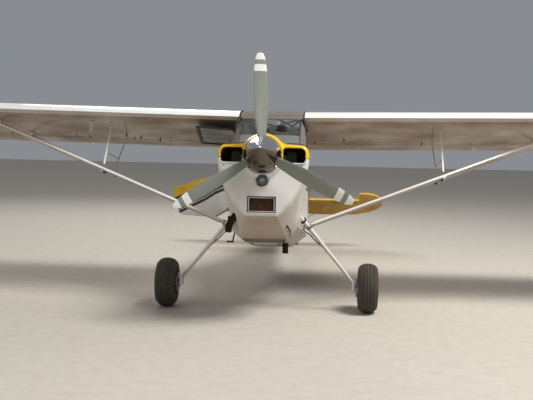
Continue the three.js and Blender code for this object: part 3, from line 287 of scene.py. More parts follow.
@dataclass(frozen=True)
class AircraftPaint(Finish):
    """Two-part polyurethane sprayed on doped fabric and thin aluminium: hard, glossy, and darkened below by dust and
    painted shade.

    The stripe's line is [y, z] in millimetres from the nose to the tail, where yellow ends.
    """

    roughness: float = 0.25
    coat: float = 0.3
    livery: Livery = Livery.PLAIN
    swing: tuple | None = None
    rib_pitch_mm: float = 0.0
    stringers: bool = False
    line_start: float = 1.1
    line_length: float = 6.4
    line_floor: float = 0.6
    line: tuple[Point, ...] = ((-1100, 1132), (5300, 1150), (-700, 1146), (-45, 1158), (450, 1055), (940, 955),
        (1500, 890), (2300, 900), (3600, 1010), (4700, 1110))

    def pattern(self, nodes: Nodes) -> None:
        """Lays out the colours, then dust with painted shade on what faces down, painted shade on the belly, the
        sprayed surface's slight ripple and the ribs under the skin.
        """
        x, y, z = nodes.level(self.swing)
        striped = self.livery is Livery.STRIPED
        if striped:
            self.stripes(nodes, y, z)
        down = nodes.facing_down()
        cloud = nodes.add("TexNoise", {"Vector": nodes.place, "Scale": 2.2, "Detail": 8.0})
        # On the nose bowl's front above the chin, the dust and painted shade are kept faint, so its rolled edge under
        # the spinner stays white.
        behind = nodes.add("MapRange", (y, -1.06, -0.99, 0.15, 1.0))
        low = nodes.add("MapRange", (z, 0.8, 0.7, 0.0, 1.0))
        # Down-facing surfaces are tinted soil brown: partly dust, partly painted shade for the ground's shadow and
        # brown bounce below.
        dust_and_shade = nodes.together(nodes.add("MapRange", (down, 0.1, -0.97, 0.02, 0.85)),
            nodes.add("MapRange", (cloud, 0.3, 0.7, 0.75, 1.15)),
            nodes.add("Math", (behind, low), operation="MAXIMUM"))
        nodes.tint(dust_and_shade, SOIL_AND_SHADE_HEX)
        off_centre = nodes.add("Math", (x,), operation="ABSOLUTE")
        if striped:
            # Painted shade darkens the belly from the end of the chin's ramp, where it lies in shadow.
            nodes.tint(nodes.together(nodes.add("MapRange", (y, -0.69, -0.64)),
                nodes.add("MapRange", (down, -0.45, -0.7, 0.0, 0.7)),
                nodes.add("MapRange", (off_centre, 0.2, 0.23, 1.0, 0.0))), BELLY_SHADE_HEX)
        gloss = nodes.add("MapRange", (cloud, 0.3, 0.7, 0.2, 0.34))
        nodes.feed("Roughness", nodes.add("Math", (gloss, nodes.together(dust_and_shade, 0.5))))
        # Sprayed paint's ripple is about 3 mm long: drawn at 12 mm, so that it shows from a few metres.
        ripple = nodes.add("TexNoise", {"Vector": nodes.place, "Scale": 80.0, "Detail": 2.0})
        nodes.emboss(ripple, 0.25, 0.35)
        if self.rib_pitch_mm:
            # A taped rib every few hundred millimetres, 25 mm wide, with the fabric dipping between.
            half_bay = self.rib_pitch_mm / 2000
            bay = nodes.add("Math", (off_centre, half_bay), operation="PINGPONG")
            dip = nodes.add("MapRange", (bay, 0.0, half_bay, 1.0, 0.0), interpolation_type="SMOOTHSTEP")
            nodes.emboss(dip, 6.0, 0.6)
            nodes.emboss(nodes.add("MapRange", (bay, 0.012, 0.016, 1.0, 0.0)), 0.9, 0.8)
        if self.stringers:
            # The stringers that the fabric is stretched over, along the rear fuselage.
            risen = nodes.add("Math", (z, nodes.together(y, -0.02)))
            spread = nodes.add("Math", (risen, 0.085), operation="PINGPONG")
            ridge = nodes.add("MapRange", (spread, 0.0, 0.03, 1.0, 0.0), interpolation_type="SMOOTHSTEP")
            nodes.emboss(nodes.together(ridge, nodes.add("MapRange", (y, 1.5, 1.7, 0.0, 1.0))), 5.0, 0.5)

    def stripes(self, nodes: Nodes, y: Any, z: Any) -> None:
        """Yellow above, white below, and between them two brown bands that follow the sill down the side."""
        along = nodes.add("Math", (nodes.add("Math", (y, self.line_start)), self.line_length), operation="DIVIDE")
        line = nodes.add("FloatCurve", {"Value": along})
        curve = line.node.mapping.curves[0]
        for at, (place, height) in enumerate(self.line):
            spot = ((place / 1000 + self.line_start) / self.line_length, height / 1000 - self.line_floor)
            if at < 2:
                curve.points[at].location = spot
            else:
                curve.points.new(*spot)
        line.node.mapping.update()
        growth = nodes.together(nodes.add("MapRange", (y, -1.02, -0.1, 0.03, 1.0)),
            nodes.add("MapRange", (y, 1.2, 5.0, 1.0, 0.4)))
        below = nodes.add("Math", (nodes.add("Math", (line, self.line_floor)), z), operation="SUBTRACT")
        offset = nodes.add("Math", (below, growth), operation="DIVIDE")
        # A brown band 155 mm deep, a white line of 8 mm and a brown line of 34 mm, at full width.
        scaled = nodes.add("Math", (nodes.add("Math", (offset, 0.25), operation="DIVIDE"), 0.1))
        nodes.band(scaled, ((0.0, YELLOW_HEX), (0.1, BROWN_HEX), (0.72, WHITE_HEX), (0.752, BROWN_HEX),
            (0.888, WHITE_HEX)))
        header = nodes.together(nodes.add("Math", (z, 1.352), operation="GREATER_THAN"),
            nodes.add("Math", (y, 0.03), operation="LESS_THAN"),
            nodes.add("Math", (y, -0.449), operation="GREATER_THAN"))
        nodes.tint(header, HEADER_HEX)


@dataclass(frozen=True)
class Metal(Finish):
    """Bare metal: aluminium or steel, polished, brushed or cast."""

    metallic: float = 1.0
    grain_mm: float = 4.0
    grain_depth_mm: float = 0.05
    stain: str = "#5a5248"
    painted_ground_reflection: float = 0.0

    def pattern(self, nodes: Nodes) -> None:
        """Adds tarnish in patches, the grain that the tool or mould left, and on what faces down a dark brown tint: a
        painted reflection of the ground with painted shade.
        """
        self.mottle(nodes, 14.0, 0.25, self.stain)
        grain = nodes.add("TexNoise", {"Vector": nodes.place, "Scale": 1000 / self.grain_mm, "Detail": 3.0})
        nodes.emboss(grain, self.grain_depth_mm)
        # What faces down is tinted dark brown: a painted reflection of the ground, with painted shade.
        if self.painted_ground_reflection:
            nodes.tint(nodes.add("MapRange", (nodes.facing_down(), 0.08, -0.12, 0.0, self.painted_ground_reflection)), GROUND_REFLECTION_HEX)


@dataclass(frozen=True)
class Rubber(Finish):
    """Moulded natural rubber, matt, with dry soil in its pores."""

    dust: float = 0.55

    def pattern(self, nodes: Nodes) -> None:
        """Adds dried soil and the fine pores of worn rubber, about 2 mm apart."""
        self.mottle(nodes, 30.0, self.dust, "#6a5c4a")
        nodes.emboss(nodes.add("TexVoronoi", {"Vector": nodes.place, "Scale": 500.0}), 0.4, 0.5)


@dataclass(frozen=True)
class BladePaint(Finish):
    """Satin epoxy paint on a carbon composite blade: olive grey, with a band and a tip in white."""

    def pattern(self, nodes: Nodes) -> None:
        """Bands the tip by distance from the hub in metres, and chips the paint."""
        radius = nodes.add("VectorMath", (nodes.place, AIRFRAME @ Vector(HUB)), "Value", operation="DISTANCE")
        nodes.band(radius, ((0.0, self.colour), (0.745, WHITE_HEX), (0.805, self.colour), (0.85, WHITE_HEX)))
        nodes.emboss(self.mottle(nodes, 30.0, 0.07, "#c9c7bd"), 0.15)


@dataclass(frozen=True)
class Acrylic(Finish):
    """Blown or moulded acrylic: clear, coloured, or darkened with painted shade, with a faint haze of dust."""

    roughness: float = 0.04
    ior: float = 1.49
    alpha: float = 0.22
    edge_above: float = 0.0
    edge_beyond: float = 0.0

    def pattern(self, nodes: Nodes) -> None:
        """Lets light through, films the sheet with dust and paints its edges where it is bonded."""
        x, _, z = nodes.level()
        haze = nodes.add("TexNoise", {"Vector": nodes.place, "Scale": 5.0, "Detail": 8.0})
        alpha = nodes.add("MapRange", (haze, 0.35, 0.7, self.alpha * 0.8, self.alpha * 1.5))
        if self.edge_above:
            blend = 0.006
            off_centre = nodes.add("Math", (x,), operation="ABSOLUTE")
            edge = nodes.add("Math", (nodes.add("MapRange", (z, self.edge_above, self.edge_above + blend)),
                nodes.add("MapRange", (off_centre, self.edge_beyond, self.edge_beyond + blend))), operation="MAXIMUM")
            nodes.tint(edge, HEADER_HEX)
            alpha = nodes.add("Math", (alpha, nodes.together(edge, 0.94)), operation="MAXIMUM")
        nodes.feed("Alpha", alpha)
        nodes.feed("Roughness", nodes.add("MapRange", (haze, 0.3, 0.7, 0.03, 0.09)))


@dataclass(frozen=True)
class Cloth(Finish):
    """Woven polyester seat cloth: a plain weave, matt, with a soft nap."""

    thread_mm: float = 3.0
    sheen: float = 0.35

    def pattern(self, nodes: Nodes) -> None:
        """Weaves warp over weft; real threads are 0.6 mm apart, drawn coarser so that they show."""
        nodes.feed("Sheen Weight", self.sheen)
        noise = self.mottle(nodes, 18.0, 0.2, "#8c8478")
        feeds = {"Vector": nodes.place, "Scale": 1000 / self.thread_mm / 6.28, "Distortion": 0.6}
        weave = nodes.together(*(nodes.add("TexWave", feeds, bands_direction=axis) for axis in ("X", "Z")))
        nodes.emboss(weave, 0.8, 0.6)
        nodes.emboss(noise, 1.0, 0.3)


@dataclass(frozen=True)
class Pleated(Finish):
    """Oiled cotton gauze filter medium, rust brown, in sharp pleats."""

    def pattern(self, nodes: Nodes) -> None:
        """Adds the gauze's threads, about 1.5 mm apart, and oil in patches."""
        self.mottle(nodes, 30.0, 0.5, "#2a1a14")
        nodes.emboss(nodes.add("TexVoronoi", {"Vector": nodes.place, "Scale": 650.0}), 0.5, 0.6)


STRIPED = AircraftPaint("striped_cowl_paint", WHITE_HEX, livery=Livery.STRIPED)
STRIPED_FABRIC = AircraftPaint("striped_doped_fabric", WHITE_HEX, livery=Livery.STRIPED, stringers=True)
STRIPED_DOOR = AircraftPaint("striped_door_paint", WHITE_HEX, livery=Livery.STRIPED,
    swing=(DOOR_PIN, DOOR_PIN_AXIS, DOOR_ANGLE))
WHITE = AircraftPaint("white_polyurethane", WHITE_HEX)
WING_WHITE = AircraftPaint("white_doped_fabric", WHITE_HEX, rib_pitch_mm=335)
YELLOW = AircraftPaint("yellow_polyurethane", YELLOW_HEX)
YELLOW_FABRIC = AircraftPaint("yellow_doped_fabric", YELLOW_HEX, rib_pitch_mm=265)
POLISHED = Metal("polished_aluminium", "#d9dadb", 0.16, grain_depth_mm=0.01)
# The spinner's aluminium, dark brown below: a painted ground reflection and painted shade.
POLISHED_PAINTED_REFLECTION = Metal("polished_aluminium_painted_reflection", "#d9dadb", 0.16, grain_depth_mm=0.01, painted_ground_reflection=0.88)
# The lamp's reflector is darkened to mid grey: painted shade in the lamp's recess.
SHADE_DARKENED_REFLECTOR = Metal("lamp_reflector_painted_shade", "#74787b", 0.2, grain_depth_mm=0.01)
ALUMINIUM = Metal("machined_aluminium", "#b9bbbc", 0.32)
STEEL = Metal("zinc_plated_steel", "#8b8c8a", 0.42)
FILTER_FRAME = Metal("satin_anodised_aluminium", "#d6d6d3", 0.5, metallic=0.35)
DISC_STEEL = Metal("ground_disc_steel", "#8f8d89", 0.3, grain_mm=2.0, stain="#7a5a3c")
EXHAUST = Metal("heat_blackened_steel", "#2b2521", 0.6, grain_depth_mm=0.2, stain="#5d3d28")
CASTING = Metal("cast_aluminium", "#77766f", 0.55, grain_mm=2.0, grain_depth_mm=0.2, stain="#2c2924")
ENGINE_BLACK = Finish("black_baffle_paint", "#0d0d0d", 0.7)
TREAD = Rubber("tyre_rubber", "#3d3832", 0.85, dust=0.4)
SEAL = Rubber("black_seal_rubber", "#101010", 0.6, dust=0.1)
BLADE = BladePaint("olive_grey_epoxy", "#83867a")
GAUZE = Pleated("oiled_filter_gauze", "#6b4a38", 0.8)
GLAZING = Acrylic("clear_acrylic", "#a9aea8", alpha=0.2)
SCREEN = Acrylic("blown_acrylic_screen", "#7a7f79", alpha=0.14, edge_above=1.684, edge_beyond=0.304)
# The raised window's pane is near opaque dark brown: painted shade for the shaded wing underside seen through it.
SHADE_DARKENED_PANE = Acrylic("acrylic_painted_shade", "#1c150e", ior=1.15, alpha=0.8)
LENS = Acrylic("lamp_glass", "#dfe5e8", alpha=0.07)
RED_LENS = Acrylic("red_lamp_lens", "#b01510", alpha=0.85)
GREEN_LENS = Acrylic("green_lamp_lens", "#0d7a3c", alpha=0.85)
POWDER = Finish("black_powder_coat", "#0f0e0d", 0.6)
PANEL_GREY = Finish("grey_crackle_enamel", "#8b8a88", 0.6)
TUBE_GREY = Finish("grey_tube_enamel", "#484a47", 0.45)
CABIN_LINING = Finish("grey_abs_lining", "#55534f", 0.75)
DIAL = Finish("black_dial_enamel", "#0b0b0c", 0.35)
MARKING = Finish("white_dial_enamel", "#e8e6df")
KNOB = Finish("black_abs_knob", "#121212", 0.35)
RED_KNOB = Finish("red_abs_knob", "#a51c14", 0.35)
SEAT_CLOTH = Cloth("charcoal_seat_cloth", "#3b3d40", 0.9)
WEBBING = Cloth("black_belt_webbing", "#1b1b1c", 0.8, thread_mm=4.0)
FLOORBOARD = Finish("varnished_plywood_floor", "#6e5f4c")
FLOOR_PAINT = Finish("pale_studio_floor", "#cfc6b8", 0.9)


def rounded(part: bmesh.types.BMesh, edges: Sequence[bmesh.types.BMEdge], offset: float, segments: int = 2) -> None:
    """Rounds a shape's edges by an offset."""
    bmesh.ops.bevel(part, geom=edges, offset=offset, offset_type="OFFSET", segments=segments, profile=0.5,
        affect="EDGES", material=-1)


def keep(thing: bpy.types.Object, finishes: Sequence[Finish], body: str) -> bpy.types.Object:
    """Gives a finished object its materials and body.

    Args:
        thing: The object, with its place in its mesh.
        finishes: One finish for each material number that its faces use.
        body: The body that it rides on.
    """
    for finish in finishes:
        thing.data.materials.append(finish.material())
    bpy.context.scene.collection.objects.link(thing)
    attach(thing, body)
    LOG.info("%s: on %s", thing.name, body)
    return thing


def creased(mesh: bmesh.types.BMesh, degrees: float) -> None:
    """Shades a mesh smooth, apart from its edges sharper than an angle."""
    limit = math.radians(degrees)
    for face in mesh.faces:
        face.smooth = True
    for edge in mesh.edges:
        edge.smooth = not (edge.is_manifold and edge.calc_face_angle(0.0) > limit)


class Piece:
    """One piece in the making: shapes in the millimetres of one space, gathered into one mesh."""

    def __init__(self, name: str, space: Matrix = AIRFRAME) -> None:
        """Starts an empty piece that is drawn in a space."""
        self.name = name
        self.space = space
        self.whole = bpy.data.meshes.new(name)
        self.gathered = bmesh.new()
        self.finishes: list[Finish] = []

    def take(self, part: bmesh.types.BMesh, finish: Finish) -> "Piece":
        """Joins a finished shape to the piece, with its own finish."""
        if finish not in self.finishes:
            self.finishes.append(finish)
        number = self.finishes.index(finish)
        for face in part.faces:
            face.material_index = number
        part.to_mesh(self.whole)
        part.free()
        self.gathered.from_mesh(self.whole)
        return self

    def rod(self, a: Point, b: Point, radius: float, finish: Finish, end: float | None = None, sides: int = 12,
            bevel: float = 0.0) -> "Piece":
        """Adds a round bar from a to b, which may taper to an end radius."""
        start, stop = Vector(a), Vector(b)
        along = stop - start
        turn = along.to_track_quat("Z", "Y").to_matrix().to_4x4()
        part = bmesh.new()
        bmesh.ops.create_cone(part, cap_ends=True, segments=sides, radius1=radius,
            radius2=radius if end is None else end, depth=along.length,
            matrix=Matrix.Translation((start + stop) / 2) @ turn)
        if bevel:
            rims = [edge for edge in part.edges if all(len(face.verts) in (4, sides) for face in edge.link_faces)
                and any(len(face.verts) == sides for face in edge.link_faces)]
            rounded(part, rims, bevel)
        return self.take(part, finish)

    def block(self, low: Point, high: Point, finish: Finish, bevel: float = 0.0, segments: int = 2,
            turn: Matrix | None = None) -> "Piece":
        """Adds a box between two opposite corners, with rounded edges, turned about its middle."""
        size = Vector([abs(length) for length in Vector(high) - Vector(low)])
        middle = (Vector(high) + Vector(low)) / 2
        part = bmesh.new()
        bmesh.ops.create_cube(part, size=1.0)
        bmesh.ops.scale(part, vec=size, verts=part.verts)
        if bevel:
            rounded(part, part.edges[:], bevel, segments)
        place = Matrix.Translation(middle) @ (turn or Matrix.Identity(4))
        bmesh.ops.transform(part, matrix=place, verts=part.verts)
        return self.take(part, finish)

    def ball(self, at: Point, radius: float | Point, finish: Finish, sides: int = 16) -> "Piece":
        """Adds a ball, or an ellipsoid where the radius has three parts."""
        part = bmesh.new()
        bmesh.ops.create_uvsphere(part, u_segments=sides, v_segments=sides // 2, radius=1.0)
        size = Vector(radius) if isinstance(radius, (tuple, list)) else Vector((radius,) * 3)
        bmesh.ops.scale(part, vec=size, verts=part.verts)
        bmesh.ops.translate(part, vec=Vector(at), verts=part.verts)
        return self.take(part, finish)

    def turned(self, profile: Sequence[Point], at: Point, axis: Point, finish: Finish, steps: int = 32) -> "Piece":
        """Adds a body of revolution.

        Args:
            profile: [radius, distance along the axis] points; a ring's profile is closed by repeating its first.
            at: The axis's foot.
            axis: Its direction.
            finish: The body's finish.
            steps: Faces around it.
        """
        part = bmesh.new()
        spots = [part.verts.new((r, 0, d)) for r, d in profile]
        edges = [part.edges.new(pair) for pair in zip(spots, spots[1:])]
        bmesh.ops.spin(part, geom=spots + edges, cent=(0, 0, 0), axis=(0, 0, 1), dvec=(0, 0, 0), angle=2 * math.pi,
            steps=steps, use_merge=True)
        bmesh.ops.remove_doubles(part, verts=part.verts, dist=0.001)
        bmesh.ops.recalc_face_normals(part, faces=part.faces)
        turn = Vector(axis).to_track_quat("Z", "Y").to_matrix().to_4x4()
        bmesh.ops.transform(part, matrix=Matrix.Translation(Vector(at)) @ turn, verts=part.verts)
        return self.take(part, finish)

    def circle(self, count: int, radius: float, at: Point, axis: Point, span: Point, size: float, finish: Finish,
            sides: int = 6, first: float = 0.0) -> "Piece":
        """Adds bolts or round bars, evenly spaced on a circle.

        Args:
            count: How many.
            radius: The circle's radius.
            at: Its middle.
            axis: The way that the bars point, along X, Y or Z.
            span: Where each bar starts and stops along the axis.
            size: Each bar's radius.
            finish: Their finish.
            sides: Faces round each bar.
            first: The first one's angle in degrees.
        """
        out = Vector(axis)
        plane = ("YZ", "XZ", "XY")[[abs(share) > 0.5 for share in out].index(True)]
        for number in range(count):
            foot = Vector(at) + spoke(first + number * 360 / count, plane) * radius
            self.rod(foot + out * span[0], foot + out * span[1], size, finish, sides=sides)
        return self

    def plate(self, outline: Sequence[Point], thickness: float, finish: Finish, bevel: float = 0.0) -> "Piece":
        """Adds a plate from the points of one flat face, thickened along that face's normal."""
        part = bmesh.new()
        face = part.faces.new([part.verts.new(point) for point in outline])
        part.normal_update()
        depth = face.normal * thickness
        made = bmesh.ops.extrude_face_region(part, geom=[face])["geom"]
        bmesh.ops.translate(part, vec=depth, verts=[item for item in made if isinstance(item, bmesh.types.BMVert)])
        bmesh.ops.recalc_face_normals(part, faces=part.faces)
        if bevel:
            rounded(part, part.edges[:], bevel)
        return self.take(part, finish)

    def done(self, slot: Slot, body: str = ROOT, crease: float = 40.0, mirrored: bool = False,
            replaces: Sequence[str] = ()) -> bpy.types.Object:
        """Finishes the piece.

        Args:
            slot: The record's slot for its finish; not used.
            body: The body that it rides on.
            crease: Edges sharper than this many degrees stay sharp.
            mirrored: Whether the shapes are also made on the aircraft's other side.
            replaces: The solids that it stands for.
        """
        if mirrored:
            bmesh.ops.mirror(self.gathered,
                geom=self.gathered.verts[:] + self.gathered.edges[:] + self.gathered.faces[:], axis="X",
                merge_dist=-1.0)
        bmesh.ops.transform(self.gathered, matrix=self.space, verts=self.gathered.verts)
        if mirrored:
            bmesh.ops.recalc_face_normals(self.gathered, faces=self.gathered.faces)
        creased(self.gathered, crease)
        self.gathered.to_mesh(self.whole)
        self.gathered.free()
        made = keep(bpy.data.objects.new(self.name, self.whole), self.finishes, body)
        if replaces:
            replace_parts(made, *replaces)
        return made


def skin(node: str, finish: Finish, crease: float = 28.0, lining: Finish | None = None,
        lined_below: float = 0.25, space: Matrix = AIRFRAME, mirror: Matrix | None = None) -> bpy.types.Object:
    """Dresses a solid as it is: the same shape, shaded smooth between its creases.

    Args:
        node: The solid, which the new piece stands for.
        finish: Its finish.
        crease: Edges sharper than this many degrees stay sharp.
        lining: The finish of the faces that look into the cabin, or None.
        lined_below: Faces are lined whose normal points outwards by less than this cosine.
        space: The space that the solid is closed in, for its lining.
        mirror: A reflection that the new piece goes through, or None.
    """
    mesh = bmesh.new()
    mesh.from_mesh(frame["nodes"][node].data)
    bmesh.ops.remove_doubles(mesh, verts=mesh.verts, dist=0.00002)
    bmesh.ops.dissolve_limit(mesh, angle_limit=math.radians(0.2), verts=mesh.verts[:], edges=mesh.edges[:],
        use_dissolve_boundaries=False)
    if mirror:
        mesh.transform(mirror)
        bmesh.ops.recalc_face_normals(mesh, faces=mesh.faces[:])
    creased(mesh, crease)
    if lining:
        level = space.inverted()
        for face in mesh.faces:
            place = level @ face.calc_center_median()
            outwards = space.to_3x3() @ Vector((place.x, 0, place.z - CABIN_MIDDLE_Z))
            inside = CABIN_ENDS[0] < place.y < CABIN_ENDS[1]
            if inside and face.normal.dot(outwards.normalized()) < lined_below:
                face.material_index = 1
    data = bpy.data.meshes.new(f"{node}_skin")
    mesh.to_mesh(data)
    mesh.free()
    finishes = [finish, lining] if lining else [finish]
    made = keep(bpy.data.objects.new(f"{node}_skin", data), finishes, BODY_OF[node])
    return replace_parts(made, node) or made


def hose(name: str, points: Sequence[Point], radius: float, finish: Finish, body: str = ROOT,
        space: Matrix = AIRFRAME, closed: bool = False, smooth: bool = True) -> bpy.types.Object:
    """Adds a round line, hose, cable or bead through points.

    Args:
        name: The piece's name.
        points: Where it runs, in the space's millimetres.
        radius: Its radius in millimetres.
        finish: Its finish.
        body: The body that it rides on.
        space: The space that it is drawn in.
        closed: Whether it joins its own start.
        smooth: Whether it curves through its points or bends at them.
    """
    curve = bpy.data.curves.new(name, "CURVE")
    curve.dimensions = "3D"
    curve.bevel_depth = radius / 1000
    curve.bevel_resolution = 3
    curve.resolution_u = 6
    curve.use_fill_caps = True
    line = curve.splines.new("BEZIER" if smooth else "POLY")
    spots = line.bezier_points if smooth else line.points
    spots.add(len(points) - 1)
    for spot, point in zip(spots, points):
        place = space @ Vector(point)
        if smooth:
            spot.co = place
            spot.handle_left_type = spot.handle_right_type = "AUTO"
        else:
            spot.co = (*place, 1.0)
    line.use_cyclic_u = closed
    return keep(bpy.data.objects.new(name, curve), [finish], body)


class Surface:
    """The outside of some solids, to lay small pieces on."""

    def __init__(self, *nodes: str, space: Matrix = AIRFRAME) -> None:
        """Takes the solids whose surface is used, and the space whose millimetres it is asked in."""
        level = space.inverted()
        spots: list[Vector] = []
        faces: list[tuple[int, ...]] = []
        for node in nodes:
            mesh = frame["nodes"][node].data
            first = len(spots)
            spots += [level @ spot.co for spot in mesh.vertices]
            faces += [tuple(first + i for i in face.vertices) for face in mesh.polygons]
        self.tree = BVHTree.FromPolygons(spots, faces)

    def hit(self, start: Point, towards: Point) -> tuple[Vector, Vector] | None:
        """Returns the first point and normal that a line meets, or None."""
        place, normal, _, _ = self.tree.ray_cast(Vector(start), Vector(towards).normalized())
        return (place, normal) if place is not None else None

    def hits(self, rays: Iterable[tuple[Point, Point]]) -> list[tuple[Vector, Vector]]:
        """Returns what each line meets, leaving out those that meet nothing."""
        return [found for found in (self.hit(start, towards) for start, towards in rays) if found]

    def beside(self, side: int, spots: Iterable[Point]) -> list[tuple[Vector, Vector]]:
        """Returns what lines from one side, port 1 or starboard -1, meet at [y, z] places."""
        return self.hits([((side * PAST_SIDE, y, z), (-side, 0, 0)) for y, z in spots])

    def above(self, x: float, y: float) -> tuple[Vector, Vector]:
        """Returns the point and normal that a line from above meets."""
        return self.hit((x, y, PAST_TOP), (0, 0, -1))

    def below(self, x: float, y: float) -> tuple[Vector, Vector]:
        """Returns the point and normal that a line from the ground meets."""
        return self.hit((x, y, 0), (0, 0, 1))

    def lift(self, start: Point, towards: Point, height: float) -> Vector | None:
        """Returns the point a height above what a line meets."""
        found = self.hit(start, towards)
        return found[0] + found[1] * height if found else None


def fasteners(piece: Piece, spots: Iterable[tuple[Vector, Vector]], radius: float, finish: Finish,
        height: float = 3.0) -> Piece:
    """Adds a domed fastener head at each point of a surface."""
    for place, normal in spots:
        piece.rod(place - normal * 2, place + normal * height, radius, finish, radius * 0.7, 10)
        piece.rod(place + normal * height, place + normal * (height + 0.6), radius * 0.35, finish, radius * 0.2, 6)
    return piece


def arc(centre: Point, radius: float, start: float, stop: float, count: int) -> list[Point]:
    """Returns points round an arc, in degrees."""
    return [(centre[0] + radius * math.cos(math.radians(start + (stop - start) * i / (count - 1))),
        centre[1] + radius * math.sin(math.radians(start + (stop - start) * i / (count - 1)))) for i in range(count)]


def spoke(degrees: float, plane: str = "XZ") -> Vector:
    """Returns the direction at an angle in a plane, from its first axis towards its second."""
    out = Vector((0, 0, 0))
    for axis, share in zip(plane, (math.cos(math.radians(degrees)), math.sin(math.radians(degrees)))):
        out["XYZ".index(axis)] = share
    return out


def walk(outline: Sequence[Point], shares: Sequence[float]) -> list[tuple[float, float]]:
    """Returns places at some shares of each side of a closed outline."""
    return [(a[0] + (b[0] - a[0]) * share, a[1] + (b[1] - a[1]) * share)
        for a, b in zip(outline, outline[1:] + outline[:1]) for share in shares]


def stations(start: float, stop: float, step: float) -> list[float]:
    """Returns evenly spaced values from start to stop, both included, about a step apart."""
    count = max(2, round(abs(stop - start) / step) + 1)
    return [start + (stop - start) * i / (count - 1) for i in range(count)]


def patch(surface: Surface, name: str, middle: Point, across: Point, along: Point, towards: Point, size: Point,
        lift: float, finish: Finish, slot: Slot, body: str = ROOT, space: Matrix = AIRFRAME,
        cells: int = 6) -> bpy.types.Object:
    """Lays a thin plate on a curved surface.

    Args:
        surface: The surface under it.
        name: The piece's name.
        middle: A point outside the surface, over the plate's middle.
        across: The direction of its first side.
        along: The direction of its second side.
        towards: The direction in which it is laid down.
        size: Its two sides.
        lift: How far its outer face stands over the surface.
        finish: Its finish.
        slot: The record's slot.
        body: The body that it rides on.
        space: The space that it is drawn in.
        cells: Faces along each side.
    """
    part = bmesh.new()
    bmesh.ops.create_grid(part, x_segments=cells, y_segments=cells, size=0.5)
    for spot in list(part.verts):
        start = Vector(middle) + Vector(across) * spot.co.x * size[0] + Vector(along) * spot.co.y * size[1]
        place = surface.lift(start, towards, lift)
        if place is None:
            part.verts.remove(spot)
        else:
            spot.co = place
    bmesh.ops.solidify(part, geom=part.faces[:], thickness=lift + 1.0)
    bmesh.ops.recalc_face_normals(part, faces=part.faces)
    piece = Piece(name, space)
    return piece.take(part, finish).done(slot, body, crease=50)


def strap(piece: Piece, line: Sequence[Point], across: Point, width: float, thick: float, finish: Finish) -> Piece:
    """Adds a flat strap that runs through points.

    Args:
        piece: The piece that takes it.
        line: Its middle line.
        across: The direction of its width.
        width: Its width.
        thick: Its thickness.
        finish: Its finish.
    """
    part = bmesh.new()
    bmesh.ops.create_grid(part, x_segments=len(line) - 1, y_segments=2, size=0.5)
    for spot in part.verts:
        at = round((spot.co.x + 0.5) * (len(line) - 1))
        spot.co = Vector(line[at]) + Vector(across).normalized() * spot.co.y * width
    bmesh.ops.solidify(part, geom=part.faces[:], thickness=thick)
    bmesh.ops.recalc_face_normals(part, faces=part.faces)
    return piece.take(part, finish)


def frame_middle(node: str) -> Vector:
    """Returns the middle of a solid's box, in metres."""
    low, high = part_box(node)
    return (Vector(low) + Vector(high)) / 2


@dataclass
class Skins:
    """Every solid whose shape is right as it is, by its finish and slot."""

    plan: tuple[tuple[Finish, Slot, str], ...] = ((STRIPED, Slot.YELLOW, "cowl_upper"),
        (STRIPED, Slot.WHITE, "cowl_lower"), (SCREEN, Slot.GLASS, "windshield"),
        (GLAZING, Slot.GLASS, "window_left window_rear_left window_rear_right skylight"),
        (SHADE_DARKENED_PANE, Slot.GLASS, "window_right_pane"), (POWDER, Slot.FRAME, "window_right_frame"),
        (SHADE_DARKENED_REFLECTOR, Slot.METAL, "landing_light"), (ALUMINIUM, Slot.STEEL, "air_filter brake_left brake_right"),
        (EXHAUST, Slot.STEEL, "exhaust_right exhaust_left"), (POLISHED_PAINTED_REFLECTION, Slot.METAL, "spinner"),
        (YELLOW_FABRIC, Slot.YELLOW, "stabiliser_left stabiliser_right elevator"),
        (YELLOW, Slot.YELLOW, "fin rudder"), (STEEL, Slot.STEEL, "tail_brace_left tail_brace_right"),
        (POWDER, Slot.STEEL, "tail_spring tail_fork entry_step"), (ALUMINIUM, Slot.METAL, "tail_hub"),
        (TUBE_GREY, Slot.CABIN, "cabin_frame"), (PANEL_GREY, Slot.CABIN, "instrument_panel"),
        (WING_WHITE, Slot.WHITE, "wing_left wing_right flap_left flap_right aileron_left aileron_right"),
        (WHITE, Slot.WHITE, "strut_front_left strut_front_right strut_rear_left strut_rear_right"),
        (WHITE, Slot.WHITE, "jury_strut_left jury_strut_right gear_leg_left gear_leg_right"))

    def build(self) -> None:
        """Dresses them all."""
        for finish, slot, nodes in self.plan:
            for node in nodes.split():
                skin(node, finish)
        skin("fuselage", STRIPED_FABRIC, lining=CABIN_LINING)
        skin("door_right", STRIPED_DOOR, lining=CABIN_LINING, lined_below=-0.25, space=DOOR)


